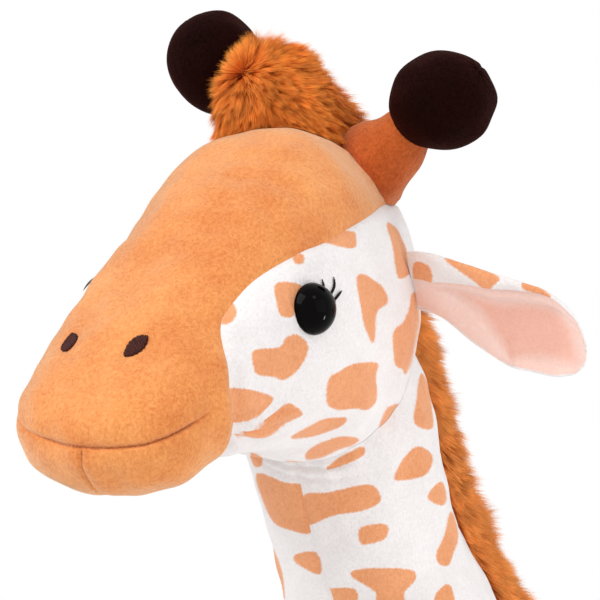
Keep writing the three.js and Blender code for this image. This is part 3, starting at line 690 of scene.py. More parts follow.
def pile_group():
    """Short pile: fine fibres, parted tufts and a nap that wanders, as colour, height and roughness."""
    group, start, end = new_group(
        "short_pile",
        [("Colour", "NodeSocketColor", (1, 1, 1, 1)), ("Deep", "NodeSocketColor", (0.5, 0.5, 0.5, 1)),
         ("Mottle", "NodeSocketFloat", 1.0)],
        [("Colour", "NodeSocketColor"), ("Height", "NodeSocketFloat"), ("Roughness", "NodeSocketFloat")])
    place = object_place(group)
    stretch = node(group, "ShaderNodeVectorMath", operation="MULTIPLY")
    group.links.new(place, stretch.inputs[0])
    stretch.inputs[1].default_value = (1, 1, 0.45)
    fibres = noise_at(group, stretch.outputs[0], FIBRES, 2, 0.6)
    tufts = noise_at(group, place, TUFTS, 3, 0.65, 0.3)
    patches = noise_at(group, place, PATCHES, 3, 0.6, 0.4)
    nap = noise_at(group, place, NAP, 2, 0.5)
    fine = spread(group, fibres, 0.3, 0.72)
    parted = spread(group, tufts, 0.33, 0.6)
    broad = spread(group, patches, 0.35, 0.68)
    wide = spread(group, nap, 0.36, 0.64)
    shades = ((parted, 0.36), (fine, 0.34), (broad, 0.1), (wide, 0.32))
    dark = weighed(group, [(maths(group, "SUBTRACT", 1.0, value), weight) for value, weight in shades])
    dark = maths(group, "MULTIPLY", dark, start.outputs["Mottle"], clamp=True)
    group.links.new(mixed(group, dark, start.outputs["Colour"], start.outputs["Deep"]), end.inputs["Colour"])
    group.links.new(weighed(group, ((fine, 0.45), (parted, 0.8), (broad, 0.5))), end.inputs["Height"])
    group.links.new(spread(group, tufts, 0.3, 0.7, 0.95, 0.75), end.inputs["Roughness"])
    return group


PILE = pile_group()


def new_material(name):
    material = bpy.data.materials.new(name)
    material.use_nodes = True
    tree = material.node_tree
    return material, tree, tree.nodes["Principled BSDF"]


def bumped(tree, shader, height, strength, distance):
    bump = node(tree, "ShaderNodeBump")
    set_inputs(bump, {"Strength": strength, "Distance": distance * MM})
    tree.links.new(height, bump.inputs["Height"])
    tree.links.new(bump.outputs["Normal"], shader.inputs["Normal"])


def plush(name, base, deep, sheen=0.35, sheen_tint=(1, 1, 1, 1), mottle=1.0, bump=0.6, spots=None,
          blur=0.55):
    """A short pile cloth, plain or with a second colour where the attribute spot gives it: printed spots, the
    seams' dark line that is partly painted shadow, or painted shade in the ear lining's hollow, its edges
    blurred so far.
    """
    material, tree, shader = new_material(name)
    pile = node(tree, "ShaderNodeGroup", node_tree=PILE)
    set_inputs(pile, {"Mottle": mottle, "Colour": base, "Deep": deep})
    # spots are printed spot colours, or colours of painted shade for seams and hollows.
    if spots:
        spot = node(tree, "ShaderNodeAttribute", attribute_name="spot")
        place = object_place(tree)
        fray = maths(tree, "MULTIPLY", maths(tree, "SUBTRACT", noise_at(tree, place, 900, 2), 0.5), 1.3)
        outside = maths(tree, "ADD", spot.outputs["Fac"], fray)
        edge = spread(tree, outside, -blur, blur, 1.0, 0.0, "SMOOTHSTEP")
        tree.links.new(mixed(tree, edge, base, spots[0]), pile.inputs["Colour"])
        tree.links.new(mixed(tree, edge, deep, spots[1]), pile.inputs["Deep"])
    tree.links.new(pile.outputs["Colour"], shader.inputs["Base Color"])
    tree.links.new(pile.outputs["Roughness"], shader.inputs["Roughness"])
    set_inputs(shader, {"Specular IOR Level": 0.15, "Sheen Weight": sheen, "Sheen Roughness": 0.45,
                        "Sheen Tint": sheen_tint})
    bumped(tree, shader, pile.outputs["Height"], bump, 0.5)
    return material


def fur_material(name, root, middle, tip):
    """Long pile: painted shade at the root and painted light at the tip, each strand a little lighter or
    darker.
    """
    material, tree, shader = new_material(name)
    uv = node(tree, "ShaderNodeUVMap", uv_map="OFBake")
    parts = node(tree, "ShaderNodeSeparateXYZ")
    tree.links.new(uv.outputs["UV"], parts.inputs[0])
    # Root to tip: painted shade darkens the roots and painted light brightens the tips.
    ramp = node(tree, "ShaderNodeValToRGB")
    stops = ramp.color_ramp.elements
    stops[0].position, stops[0].color = 0.0, root
    stops[1].position, stops[1].color = 1.0, tip
    half = stops.new(0.5)
    half.color = middle
    tree.links.new(parts.outputs["Y"], ramp.inputs["Fac"])
    tint = spread(tree, parts.outputs["X"], 0, 1, 0.7, 1.35)
    place = object_place(tree)
    broad = spread(tree, noise_at(tree, place, 90, 2), 0.35, 0.65, 0.86, 1.1)
    shade = node(tree, "ShaderNodeVectorMath", operation="SCALE")
    tree.links.new(ramp.outputs["Color"], shade.inputs[0])
    tree.links.new(maths(tree, "MULTIPLY", tint, broad), shade.inputs["Scale"])
    tree.links.new(shade.outputs[0], shader.inputs["Base Color"])
    tree.links.new(spread(tree, parts.outputs["Y"], 0, 1, 0.85, 0.5), shader.inputs["Roughness"])
    set_inputs(shader, {"Specular IOR Level": 0.12, "Sheen Weight": 0.3, "Sheen Roughness": 0.4,
                        "Sheen Tint": colour(255, 180, 110)})
    return material


def plain_material(name, base, rough, scale, bump, distance, spread_colour=0.9):
    """A material with fine grain in its colour, roughness and surface."""
    material, tree, shader = new_material(name)
    place = object_place(tree)
    grain = noise_at(tree, place, scale, 3)
    darker = tuple(c * spread_colour for c in base[:3]) + (1,)
    tree.links.new(mixed(tree, spread(tree, grain, 0.35, 0.65), darker, base), shader.inputs["Base Color"])
    smoothest, roughest = rough * 0.85, min(rough * 1.15, 1)
    tree.links.new(spread(tree, grain, 0.3, 0.7, smoothest, roughest), shader.inputs["Roughness"])
    bumped(tree, shader, grain, bump, distance)
    return material, tree, shader


ORANGE, ORANGE_DEEP = colour(247, 168, 98), colour(210, 114, 54)
SPOT, SPOT_DEEP = colour(246, 174, 126), colour(216, 138, 88)
WHITE, WHITE_DEEP = colour(247, 244, 243), colour(226, 219, 218)
# The dark line of the mouth and chin seams: partly thread and parted pile, partly painted shadow in the
# groove.
SEAM_THREAD_AND_SHADOW = colour(196, 108, 58), colour(150, 72, 34)
# Painted shade: the ear lining turns a deeper pink deep in its hollow and stays pale at its rim and fold.
LINING_HOLLOW_SHADE = colour(246, 198, 180), colour(236, 172, 152)
LINING_BLUR = 4.5
# The orange cloth's second colour is that seam line, partly painted shadow.
orange_plush = plush("orange_plush", ORANGE, ORANGE_DEEP, 1.0, colour(255, 224, 190), spots=SEAM_THREAD_AND_SHADOW)
printed_plush = plush("printed_plush", WHITE, WHITE_DEEP, 0.2, mottle=0.8, bump=0.5, spots=(SPOT, SPOT_DEEP))
horn_plush = plush("horn_plush", colour(214, 106, 46), colour(156, 66, 22), 0.6, colour(255, 200, 160))
brown_plush = plush("brown_plush", colour(30, 6, 3), colour(8, 1, 1), 0.16, colour(140, 50, 34), 1.0, 0.5)
brown_plush.node_tree.nodes["Principled BSDF"].inputs["Specular IOR Level"].default_value = 0.04
# The lining's second colour is painted shade in its hollow.
pink_plush = plush("ear_lining_plush", colour(250, 222, 212), colour(240, 196, 182), 0.5, mottle=0.7,
                   bump=0.4, spots=LINING_HOLLOW_SHADE, blur=LINING_BLUR)
filling = plain_material("polyester_filling", colour(246, 243, 238), 0.95, 400, 0.6, 0.8)[0]
fur_orange = fur_material("long_pile", colour(152, 48, 2), colour(212, 86, 6), colour(253, 158, 66))
# The mane's copy has darker roots and middle: more painted shade where it lies against the neck.
mane_orange_shaded = fur_material("mane_pile", colour(124, 42, 2), colour(196, 78, 8), colour(253, 166, 84))
fur_skin = plush("long_pile_backing", colour(180, 80, 20), colour(136, 54, 10), 0.1)
eye_black, _, eye_shader = plain_material("polished_black_eye", colour(5, 3, 3), 0.06, 60, 0.0, 0.1, 0.8)
eye_shader.inputs["Specular IOR Level"].default_value = 0.05
washer_white = plain_material("moulded_washer", colour(232, 232, 230), 0.45, 300, 0.15, 0.1)[0]
for washer in ("eye_washer_left", "eye_washer_right"):
    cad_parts[washer].data.materials.clear()
    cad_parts[washer].data.materials.append(washer_white)


def printed_piece(name, points, faces, cad, spot, rides="toy", wall=WALL):
    """A piece of the printed cloth. spot is how far each of its points is outside the spots."""
    make_piece(name, points, faces, printed_plush, rides, (cad,), wall, {"spot": spot})


def filling_piece(name, points, faces, cad):
    make_piece(name, points, faces, filling, "toy", (cad,))


THREADS = 1500


def thread_material(name, base):
    """Satin stitch: threads side by side, the light they catch along their length painted in as a lighter
    colour in their grain.
    """
    material, tree, shader = new_material(name)
    place = object_place(tree)
    grain = noise_at(tree, place, THREADS, 2)
    # Painted highlight: a lighter copy of the thread colour.
    lighter = tuple(min(c * 1.7 + 0.01, 1) for c in base[:3]) + (1,)
    tree.links.new(mixed(tree, spread(tree, grain, 0.4, 0.62), base, lighter), shader.inputs["Base Color"])
    tree.links.new(spread(tree, grain, 0.3, 0.7, 0.42, 0.62), shader.inputs["Roughness"])
    shader.inputs["Specular IOR Level"].default_value = 0.12
    bumped(tree, shader, grain, 0.5, 0.25)
    return material


nostril_thread = thread_material("brown_thread", colour(56, 20, 14))
lash_thread = thread_material("black_thread", colour(16, 10, 10))


# Head: one ball shaped by its ovals, pinched along its seams and cut there into its panels.
def smooth_line(points, steps=8):
    """An open curve through points."""
    p = np.array(points, float)
    p = np.vstack([2 * p[0] - p[1], p, 2 * p[-1] - p[-2]])
    rows = []
    for i in range(1, len(p) - 2):
        rows.extend(curve_at(*p[i - 1:i + 3], k / steps) for k in range(steps))
    return np.vstack([rows, p[-2]])


FAR = 300
# The seam between face and cheeks seen from the side: how far ahead and how high.
FACE_SEAM = smooth_line([
    (1.1 * SKULL, -0.08 * CROWN), (0.98 * SKULL, -0.04 * CROWN), (0.82 * SKULL, 0.13 * CROWN),
    (0.62 * SKULL, 0.27 * CROWN), (0.4 * SKULL, 0.38 * CROWN), (0.15 * SKULL, 0.46 * CROWN),
    (0, 0.495 * CROWN), (16, 0.54 * CROWN), (38, 0.548 * CROWN), (55, 0.5 * CROWN),
    (67, 0.435 * CROWN), (74, 0.33 * CROWN), (80, 0.18 * CROWN), (85, 0.05 * CROWN),
    (88, -0.2 * CROWN),
])
CHEEK_SHAPE = np.vstack([[(-FAR, -0.08 * CROWN)], FACE_SEAM, [(88, -FAR), (-FAR, -FAR)]])
EYE_DENT, NOSTRIL_DENT = 11, 8


def face_fields(p):
    """Distances in the head's frame: into the cheek cloth, above the mouth, and left of the chin seam."""
    side = np.stack([-p[:, 1], p[:, 2]], 1)
    return -outline_distance(side, CHEEK_SHAPE), p[:, 2] - MOUTH_HEIGHT, p[:, 0] - MIDDLE_SEAM


def eye_spot(side):
    ahead, height, _ = EYE_PLACES[side]
    return np.array([side * head.side_at(ahead, height), -ahead, height])


def nostril_spot(side):
    across = side * NOSTRIL_ACROSS + NOSTRIL_SHIFT
    return np.array([across, -NOSTRIL_AHEAD, head.height_at(NOSTRIL_AHEAD, across)])


GATHER = np.array([46.0, -84.0, -18.0])


def head_relief(p):
    """How far the cloth stands off the plain form: seams draw it in, filling and gathers lift it."""
    cheek, mouth, middle = face_fields(p)
    ahead = -p[:, 1]
    lift = 0.7 * ripples(p, 46, 11) + 0.28 * ripples(p, 17, 12)
    back_edge = step(50, 80, ahead) * step(24, 4, p[:, 2])
    on_cheek = step(-2, 4, cheek)
    lift += seam_dent(cheek, 1.1, 1.4, 0.5, 5.5)
    lift += on_cheek * groove(cheek - 2, 3.2 * back_edge, 6)
    lift += (1 - on_cheek) * 1.6 * back_edge * np.exp(-((cheek + 5) / 6) ** 2)
    on_face = step(2, -4, cheek)
    mouth_end = step(92, 102, ahead)
    mouth_end = mouth_end * (0.15 + 0.85 * step(-44, -14, p[:, 0]))
    lift += on_face * mouth_end * seam_dent(mouth, 1.5, 0.9, 0.7, 4.5)
    lift += on_face * mouth_end * 0.4 * np.exp(-((mouth - 7) / 5) ** 2)
    # Drawn in: under and before the muzzle, at the right temple, behind the crown and behind the ears.
    lift -= 1.6 * step(-14, -30, p[:, 2]) * step(60, 85, ahead)
    lift -= 2.0 * step(108, 130, ahead) * step(8, -10, p[:, 2])
    lift -= 4.2 * np.exp(-((ahead - 13) / 34) ** 2) * step(15, 38, -p[:, 0]) * step(8, 32, p[:, 2])
    lift -= 2.2 * np.exp(-((ahead + 44) / 20) ** 2 - ((p[:, 0] + 16) / 22) ** 2) * step(30, 50, p[:, 2])
    lift -= 1.2 * np.exp(-((p[:, 1] - 83) / 12) ** 2 - ((p[:, 0] - 32) / 10) ** 2) * step(0, 15, p[:, 2])
    behind_ear = np.exp(-((p[:, 1] - EAR_BACK - 12) / 7) ** 2 - ((p[:, 2] + EAR_DROP - 3) / 17) ** 2)
    lift -= 1.8 * behind_ear * step(25, 40, np.abs(p[:, 0]))
    chin = step(0, -3, mouth) * on_face
    lift += chin * seam_dent(middle, 1.0, 1.1, 0.5, 5)
    corner = np.sqrt(((ahead - 86) / 17) ** 2 + ((p[:, 2] + 34) / 15) ** 2)
    for side, depth in ((1, 6.0), (-1, 3.0)):
        lift += groove(corner, depth, 1.0) * step(8, 30, side * p[:, 0])
    lift += on_cheek * seam_dent(p[:, 0], 1.2, 1.2, 0.8, 5)
    for side, _ in SIDES:
        lift += groove(np.linalg.norm(p - eye_spot(side), axis=1), 1.4, EYE_DENT)
        lift += groove(np.linalg.norm(p - nostril_spot(side), axis=1), 1.1, NOSTRIL_DENT)
        knot = GATHER * (side, 1, 1)
        reach = np.linalg.norm(p - knot, axis=1)
        bearing = np.arctan2(p[:, 2] - knot[2], p[:, 1] - knot[1])
        fan = np.sin(bearing * 19 + 1.2 * np.sin(3 * bearing)) * step(3, 10, reach) * step(66, 10, reach)
        lift += on_cheek * fan * 1.2 * step(-2, -22, p[:, 2])
        lift += groove(reach, 2.2, 8) * on_cheek
    return lift


def cloth_field(world):
    """About how far a point is outside the head's finished cloth."""
    away = head_field(world)
    near = np.abs(away) < 8
    away[near] -= head_relief(to_head(world[near]))
    return away


def head_place(p, normals, extra=0.0):
    """Points of the plain head moved by its relief and put in the toy's frame."""
    return from_head(p + normals * (head_relief(p) + extra)[:, None])


def seam_thread_and_shadow(p):
    """How far each point of the face cloth is outside the dark line of its mouth and chin seams: partly
    thread and parted pile, partly painted shadow in the seam's groove.
    """
    _, mouth, middle = face_fields(p)
    line = np.abs(mouth) + 1.5 * step(108, 98, -p[:, 1]) + 0.6 * step(-8, -26, p[:, 0])
    return np.where(mouth < -0.1, np.minimum(line, np.abs(middle) + 0.3), line) - 0.4


HEAD_SEGMENTS, HEAD_RINGS = 300, 200


def build_head():
    p, faces = shaped_ball(head, HEAD_SEGMENTS, HEAD_RINGS, -1)
    normals = point_normals(p, faces)
    world_normals = normals @ HEAD_TURN.T
    spot = printed(from_head(p), world_normals, HEAD_SPOTS, 21, 9, 6, 12)
    columns = np.column_stack([p, normals, spot])
    columns, cheeks, face = cut(columns, faces, face_fields(columns[:, :3])[0])
    columns, left, right = cut(columns, cheeks, columns[:, 0])
    columns, forehead, chin = cut(columns, face, face_fields(columns[:, :3])[1])
    columns, chin_left, chin_right = cut(columns, chin, face_fields(columns[:, :3])[2])
    panels = [
        ("forehead_muzzle_plush", forehead, orange_plush, "orange_plush", "forehead_muzzle_panel"),
        ("chin_plush_left", chin_left, orange_plush, "orange_plush", "chin_panel_left"),
        ("chin_plush_right", chin_right, orange_plush, "orange_plush", "chin_panel_right"),
        ("cheek_plush_left", left, printed_plush, "printed_plush", "cheek_panel_left"),
        ("cheek_plush_right", right, printed_plush, "printed_plush", "cheek_panel_right"),
    ]
    for name, panel, material, slot, cad in panels:
        part, triangles = kept(columns, panel)
        # Face panels carry the seam line, partly painted shadow, where the cheeks carry printed spots.
        spot = part[:, 6] if material is printed_plush else seam_thread_and_shadow(part[:, :3])
        make_piece(name, head_place(part[:, :3], part[:, 3:6]), triangles, material, "toy", (cad,),
                   WALL, {"spot": spot})
    p, faces = shaped_ball(head, 48, 32, -1, FILLING_INSET)
    filling_piece("head_filling", from_head(p), faces, "head_stuffing")


build_head()


def surface_point(ahead, height, side, lift):
    """A point on the side of the finished head, and the cloth's normal there."""
    ahead, height = np.atleast_1d(ahead).astype(float), np.atleast_1d(height).astype(float)
    place = lambda a, h: np.stack([side * head.side_at(a, h), -a, h], 1)
    p = place(ahead, height)
    normal = unit(np.cross(place(ahead + 1, height) - p, place(ahead, height + 1) - p))
    normal *= np.sign(normal[:, :1]) * side
    return head_place(p, normal, lift), normal @ HEAD_TURN.T


def crown_point(across, ahead, lift):
    """A point on the top of the finished muzzle."""
    place = lambda x, a: np.stack([x, -a, head.height_at(a, x)], 1)
    p = place(across, ahead)
    normal = unit(np.cross(place(across + 1, ahead) - p, place(across, ahead + 1) - p))
    normal *= np.sign(normal[:, 2:])
    return head_place(p, normal, lift)


# Eyes: a domed button seated in the dent it draws in the cheek.
def build_eye(name, side):
    ahead, up, lift = EYE_PLACES[side]
    spot, normal = surface_point(ahead, up, side, np.array([lift]))
    across = unit(np.cross((0, 0, 1.0), normal[0]))
    above = np.cross(normal[0], across)
    points, _, _, faces = ball_start(48, 28)
    reach = EYE_DIAMETER / 2
    height = np.where(points[:, 2] > 0, points[:, 2] * EYE_BULGE, points[:, 2] * 2.6)
    rim = 1 + 0.03 * np.exp(-(points[:, 2] / 0.3) ** 2)
    flat = points[:, 0] * reach * rim, points[:, 1] * reach * rim
    place = spot[0] + np.outer(flat[0], across) + np.outer(flat[1], above) + np.outer(height, normal[0])
    points, faces = outward_from(place, faces, spot[0])
    make_piece(f"eye_button_{name}", points, faces, eye_black, "toy", (f"eye_{name}",))


def capped(rings, path):
    """Rings of points round a path joined into one skin, closed at both ends."""
    sides = rings.shape[1]
    points = np.vstack([rings.reshape(-1, 3), path[0], path[-1]])
    faces = []
    for i in range(len(path) - 1):
        for j in range(sides):
            a, b = i * sides + j, i * sides + (j + 1) % sides
            faces += [(a, b, b + sides), (a, b + sides, a + sides)]
    last = (len(path) - 1) * sides
    for j in range(sides):
        following = (j + 1) % sides
        faces += [(len(points) - 2, following, j), (len(points) - 1, last + j, last + following)]
    inner = np.vstack([np.repeat(path, sides, 0), path[0], path[-1]])
    return points, outward(points, np.array(faces), inner)


def tube(path, radii, sides=8):
    """A round strand along a path, closed at both ends."""
    path = np.asarray(path, float)
    tangent = unit(np.gradient(path, axis=0))
    helper = np.array([0.3, 0.5, 0.8])
    side = unit(np.cross(tangent, helper))
    up = np.cross(tangent, side)
    angle = np.linspace(0, 2 * math.pi, sides, endpoint=False)
    rings = (path[:, None] + radii[:, None, None] * (np.cos(angle)[None, :, None] * side[:, None]
                                                      + np.sin(angle)[None, :, None] * up[:, None]))
    return capped(rings, path)


def joined(parts):
    points, faces, start = [], [], 0
    for p, f in parts:
        points.append(p)
        faces.append(f + start)
        start += len(p)
    return np.vstack(points), np.vstack(faces)


# Lashes: three stitched strokes and the short bar they rise from, as places ahead and up on the cheek.
LASH_STROKES = [
    [(20.4, 17.4), (17.6, 17.6), (16.0, 19.6), (14.8, 22.3)],
    [(14.6, 15.0), (12.2, 16.0), (10.4, 16.9), (9.2, 18.2), (8.0, 19.9)],
    [(13.8, 12.0), (11.5, 12.4), (9.6, 12.6), (7.4, 12.8)],
    [(21.5, 17.2), (18.5, 16.8), (16.2, 15.6), (14.6, 13.6), (13.9, 11.0)],
]


def build_lashes(name, side):
    parts = []
    for stroke in LASH_STROKES:
        line = smooth_line(stroke, 6)
        share = np.linspace(0, 1, len(line))
        path, _ = surface_point(line[:, 0], line[:, 1], side, np.full(len(line), 0.5))
        radii = 0.62 * np.sqrt(np.maximum(1 - share ** 3, 0.06)) + 0.06 * np.sin(share * 40)
        parts.append(tube(path, radii))
    points, faces = joined(parts)
    make_piece(f"lash_stitches_{name}", points, faces, lash_thread, "toy", (f"lashes_{name}",))


# Nostrils: satin stitch in an almond, its threads laid across it, each so thick and so many points long.
NOSTRIL_THREADS, THREAD_RADIUS, THREAD_POINTS = 34, 0.3, 9


def build_nostril(name, side):
    centre = nostril_spot(side)
    length, width = NOSTRIL_LENGTH[side] / 2, NOSTRIL_WIDTH / 2
    lean = math.radians(NOSTRIL_TURN[side])
    parts = []
    share = np.linspace(-1, 1, THREAD_POINTS)
    for k in range(NOSTRIL_THREADS):
        along = (k + 0.5) / NOSTRIL_THREADS * 2 - 1
        half = width * (1 - abs(along) ** 2.1) ** 0.8 + 0.25
        u = along * length + 0.15 * np.sin(k * 2.4) + share * 0.3
        v = share * half * (1 + 0.05 * math.sin(k * 5.1))
        across = centre[0] + u * math.sin(lean) + v * math.cos(lean)
        ahead = -centre[1] + u * math.cos(lean) - v * math.sin(lean)
        lift = 0.15 + 0.75 * np.sqrt(np.maximum(1 - share ** 2, 0))
        path = crown_point(across, ahead, lift)
        parts.append(tube(path, np.full(THREAD_POINTS, THREAD_RADIUS), 6))
    points, faces = joined(parts)
    make_piece(f"nostril_stitches_{name}", points, faces, nostril_thread, "toy",
               (f"nostril_{name}",))


for side, name in SIDES:
    build_eye(name, side)
    build_lashes(name, side)
    build_nostril(name, side)


# Rolled forms: a sheet rolled round a line and fitted between the surfaces it is sewn to.
def meeting(place, angles, us, field):
    """Where along us each angle's line first goes inside a field."""
    values = field(place(angles[:, None], us[None, :]))
    inside = values < 0
    first = np.where(inside.any(1), inside.argmax(1), len(us) - 1)
    first = np.maximum(first, 1)
    rows = np.arange(len(angles))
    a, b = values[rows, first - 1], values[rows, first]
    share = np.where(inside.any(1), np.clip(a / np.where(a == b, 1, a - b), 0, 1), 1)
    return us[first - 1] + (us[first] - us[first - 1]) * share


def rolled(columns, rows, place, from_angle, to_angle, low, high, crowding=1):
    """A sheet rolled from one angle to another, between the ends that low and high give at each angle.

    Gives its points, faces, angles and places along."""
    share, along, faces = sheet_start(columns, rows)
    along = 1 - (1 - along) ** crowding
    angles = from_angle + (to_angle - from_angle) * share
    start, end = low(angles), high(angles)
    u = start + (end - start) * along
    return place(angles, u), faces, angles, u


def by_angle(function, count=240):
    """A costly function of an angle, worked out at some angles and read between them."""
    known = np.linspace(-2 * math.pi, 3 * math.pi, count * 2)
    values = function(known)
    return lambda angle: np.interp(angle, known, values)


THROAT_ANGLE = -math.pi / 2 + math.asin(1.7 * MIDDLE_SEAM / (NECK_TOP / 2))
NAPE_ANGLE = math.pi / 2


def neck_surface(angle, u):
    angle, u = np.broadcast_arrays(np.asarray(angle, float), np.asarray(u, float))
    centre, side, back, radius = neck_frame(u)
    out = around(angle, side, back)
    plain = centre + out * radius[..., None]
    shape = plain.reshape(-1, 3)
    below, above = np.maximum(head_field(plain), 0), np.maximum(body_field(plain), 0)
    pull = groove(below, 1.4, 5) + groove(above, 2.5, 8)
    pull = pull + neck_hollow(angle, u)
    for seam in (THROAT_ANGLE, NAPE_ANGLE):
        pull = pull + seam_dent(np.abs(wrapped(angle - seam)) * radius, 0.9, 1.2, 0.5, 5)
    lumps = (0.9 * ripples(shape, 60, 31) + 0.35 * ripples(shape, 21, 32)).reshape(angle.shape)
    gathers = np.exp(-below / 16) * np.sin(angle * 24 + 1.5 * np.sin(5 * angle))
    turned = wrapped(angle)
    front = step(-0.5, -1.2, turned) * step(-2.9, -2.4, turned)
    past_throat = turned + 0.5 * math.pi
    folds = groove(below - 4.5 - 3.5 * past_throat, 1.6, 1.3)
    folds = folds + groove(below - 9 - 6 * past_throat, 1.1, 1.5)
    return plain + out * (pull + lumps + 0.5 * gathers + front * folds)[..., None]


# How many places along a rolled form are tried for where it meets another.
SEARCH = 160


def build_neck():
    up, down = np.linspace(0.5, 1, SEARCH), np.linspace(0.5, 0, SEARCH)
    high = by_angle(lambda a: meeting(neck_surface, a, up, lambda p: cloth_field(p) - SEWN_IN))
    low = by_angle(lambda a: meeting(neck_surface, a, down, lambda p: body_field(p) - SEWN_IN))
    halves = (("left", THROAT_ANGLE, NAPE_ANGLE, NECK_SPOTS_LEFT, 41),
              ("right", NAPE_ANGLE, THROAT_ANGLE + 2 * math.pi, NECK_SPOTS_RIGHT, 42))
    for name, first, last, spots, seed in halves:
        points, faces, angles, u = rolled(128, 200, neck_surface, first, last, low, high, 1.5)
        faces = outward(points, faces, neck_frame(u)[0])
        normals = point_normals(points, faces)
        spot = printed(points, normals, spots, seed, 10, 7, 13)
        printed_piece(f"neck_plush_{name}", points, faces, f"neck_panel_{name}", spot)
    share, along, faces = sheet_start(40, 40)
    angles = share * 2 * math.pi
    start, end = low(angles) + 0.02, high(angles) - 0.02
    u = start + (end - start) * along
    centre, side, back, radius = neck_frame(u)
    radius = radius + neck_hollow(angles, u)
    points = centre + around(angles, side, back) * ((radius - FILLING_INSET) * closing(along))[:, None]
    filling_piece("neck_filling", points, outward(points, faces, centre), "neck_stuffing")


build_neck()


# Body: a ball shaped by its ovals, cut into two sides and a belly piece.
def body_relief(p):
    belly = np.minimum(BELLY_HALF - np.abs(p[:, 0]), -0.3 * BODY_DEPTH - p[:, 2])
    lift = 1.3 * ripples(p, 75, 51) + 0.5 * ripples(p, 27, 52)
    above = step(-2, 2, -belly)
    lift += above * seam_dent(p[:, 0], 1.2, 1.3, 0.9, 6)
    lift += seam_dent(belly, 1.2, 1.3, 0.9, 6)
    return lift, belly


def build_body():
    p, faces = shaped_ball(body, 180, 130, 1)
    normals = point_normals(p, faces)
    place = np.array([0, 0, BODY_HEIGHT]) + SHIFT
    spot = printed(p + place, normals, [], 61, 14, 9, 19)
    columns = np.column_stack([p, normals, spot])
    columns, belly, sides = cut(columns, faces, body_relief(columns[:, :3])[1])
    columns, left, right = cut(columns, sides, columns[:, 0])
    panels = (("belly_plush", belly, "belly_panel"), ("body_plush_left", left, "body_panel_left"),
              ("body_plush_right", right, "body_panel_right"))
    for name, panel, cad in panels:
        part, triangles = kept(columns, panel)
        points = part[:, :3] + part[:, 3:6] * body_relief(part[:, :3])[0][:, None] + place
        printed_piece(name, points, triangles, cad, part[:, 6])
    p, faces = shaped_ball(body, 40, 28, 1, FILLING_INSET)
    filling_piece("body_filling", p + place, faces, "body_stuffing")


build_body()


# Legs: a rolled cover, a hoof cover with a rounded edge, and a flat sole.
LEG_TOP = BODY_HEIGHT - 0.1 * BODY_DEPTH
HOOF_ROUNDING, SOLE_MARGIN, SOLE_THICKNESS = 4.0, 3.4, 1.6
# Half the gap between leg cover and hoof cover.
ANKLE_GAP = 0.15


def inner_seam(side):
    """The angle at which a leg's seam runs down its inner side."""
    return 0 if side < 0 else math.pi


def level(height):
    """The same height at every angle."""
    return lambda angle: 0 * angle + height


def leg_frame(place, side, h):
    foot = np.array([side * FOOT_SPREAD, FEET[place][0], 0])
    hip = np.array([side * HIP_SPREAD, FEET[place][1], 0])
    share = np.clip((np.asarray(h) - HOOF_HEIGHT) / (LEG_TOP - HOOF_HEIGHT), 0, None)[..., None]
    centre = foot * (1 - share) + hip * share + SHIFT
    centre = centre + np.stack([0 * share[..., 0], 0 * share[..., 0], np.asarray(h, float)], -1)
    width = smooth([0, 0.6 * HOOF_HEIGHT, 1.35 * HOOF_HEIGHT, 0.6 * LEG_TOP, 0.82 * LEG_TOP, LEG_TOP],
                   [SOLE_WIDTH, 0.98 * SOLE_WIDTH, SHIN_WIDTH, 1.04 * SHIN_WIDTH,
                    (SHIN_WIDTH + LEG_TOP_WIDTH) / 2, LEG_TOP_WIDTH], h)
    return centre, width / 2


def leg_surface(place, side, angle, h):
    angle, h = np.broadcast_arrays(np.asarray(angle, float), np.asarray(h, float))
    centre, radius = leg_frame(place, side, h)
    out = np.stack([np.cos(angle), np.sin(angle), 0 * angle], -1)
    plain = centre + out * radius[..., None]
    seed = 70 + (place == "rear") * 5 + (side > 0)
    shape = plain.reshape(-1, 3)
    lumps = 0.8 * ripples(shape, 50, seed) + 0.3 * ripples(shape, 18, seed + 20)
    pull = seam_dent(h - HOOF_HEIGHT, 1.5, 1.6, 1.0, 6)
    pull = pull + groove(np.maximum(body_field(plain), 0), 2.4, 7)
    pull = pull + seam_dent(np.abs(wrapped(angle - inner_seam(side))) * radius, 1.1, 1.3, 0.6, 5)
    rim = HOOF_ROUNDING
    pull = pull - np.where(h < rim, rim - np.sqrt(np.maximum(rim ** 2 - (rim - h) ** 2, 0)), 0)
    return plain + out * (pull + lumps.reshape(angle.shape) * step(0, 12, h))[..., None]


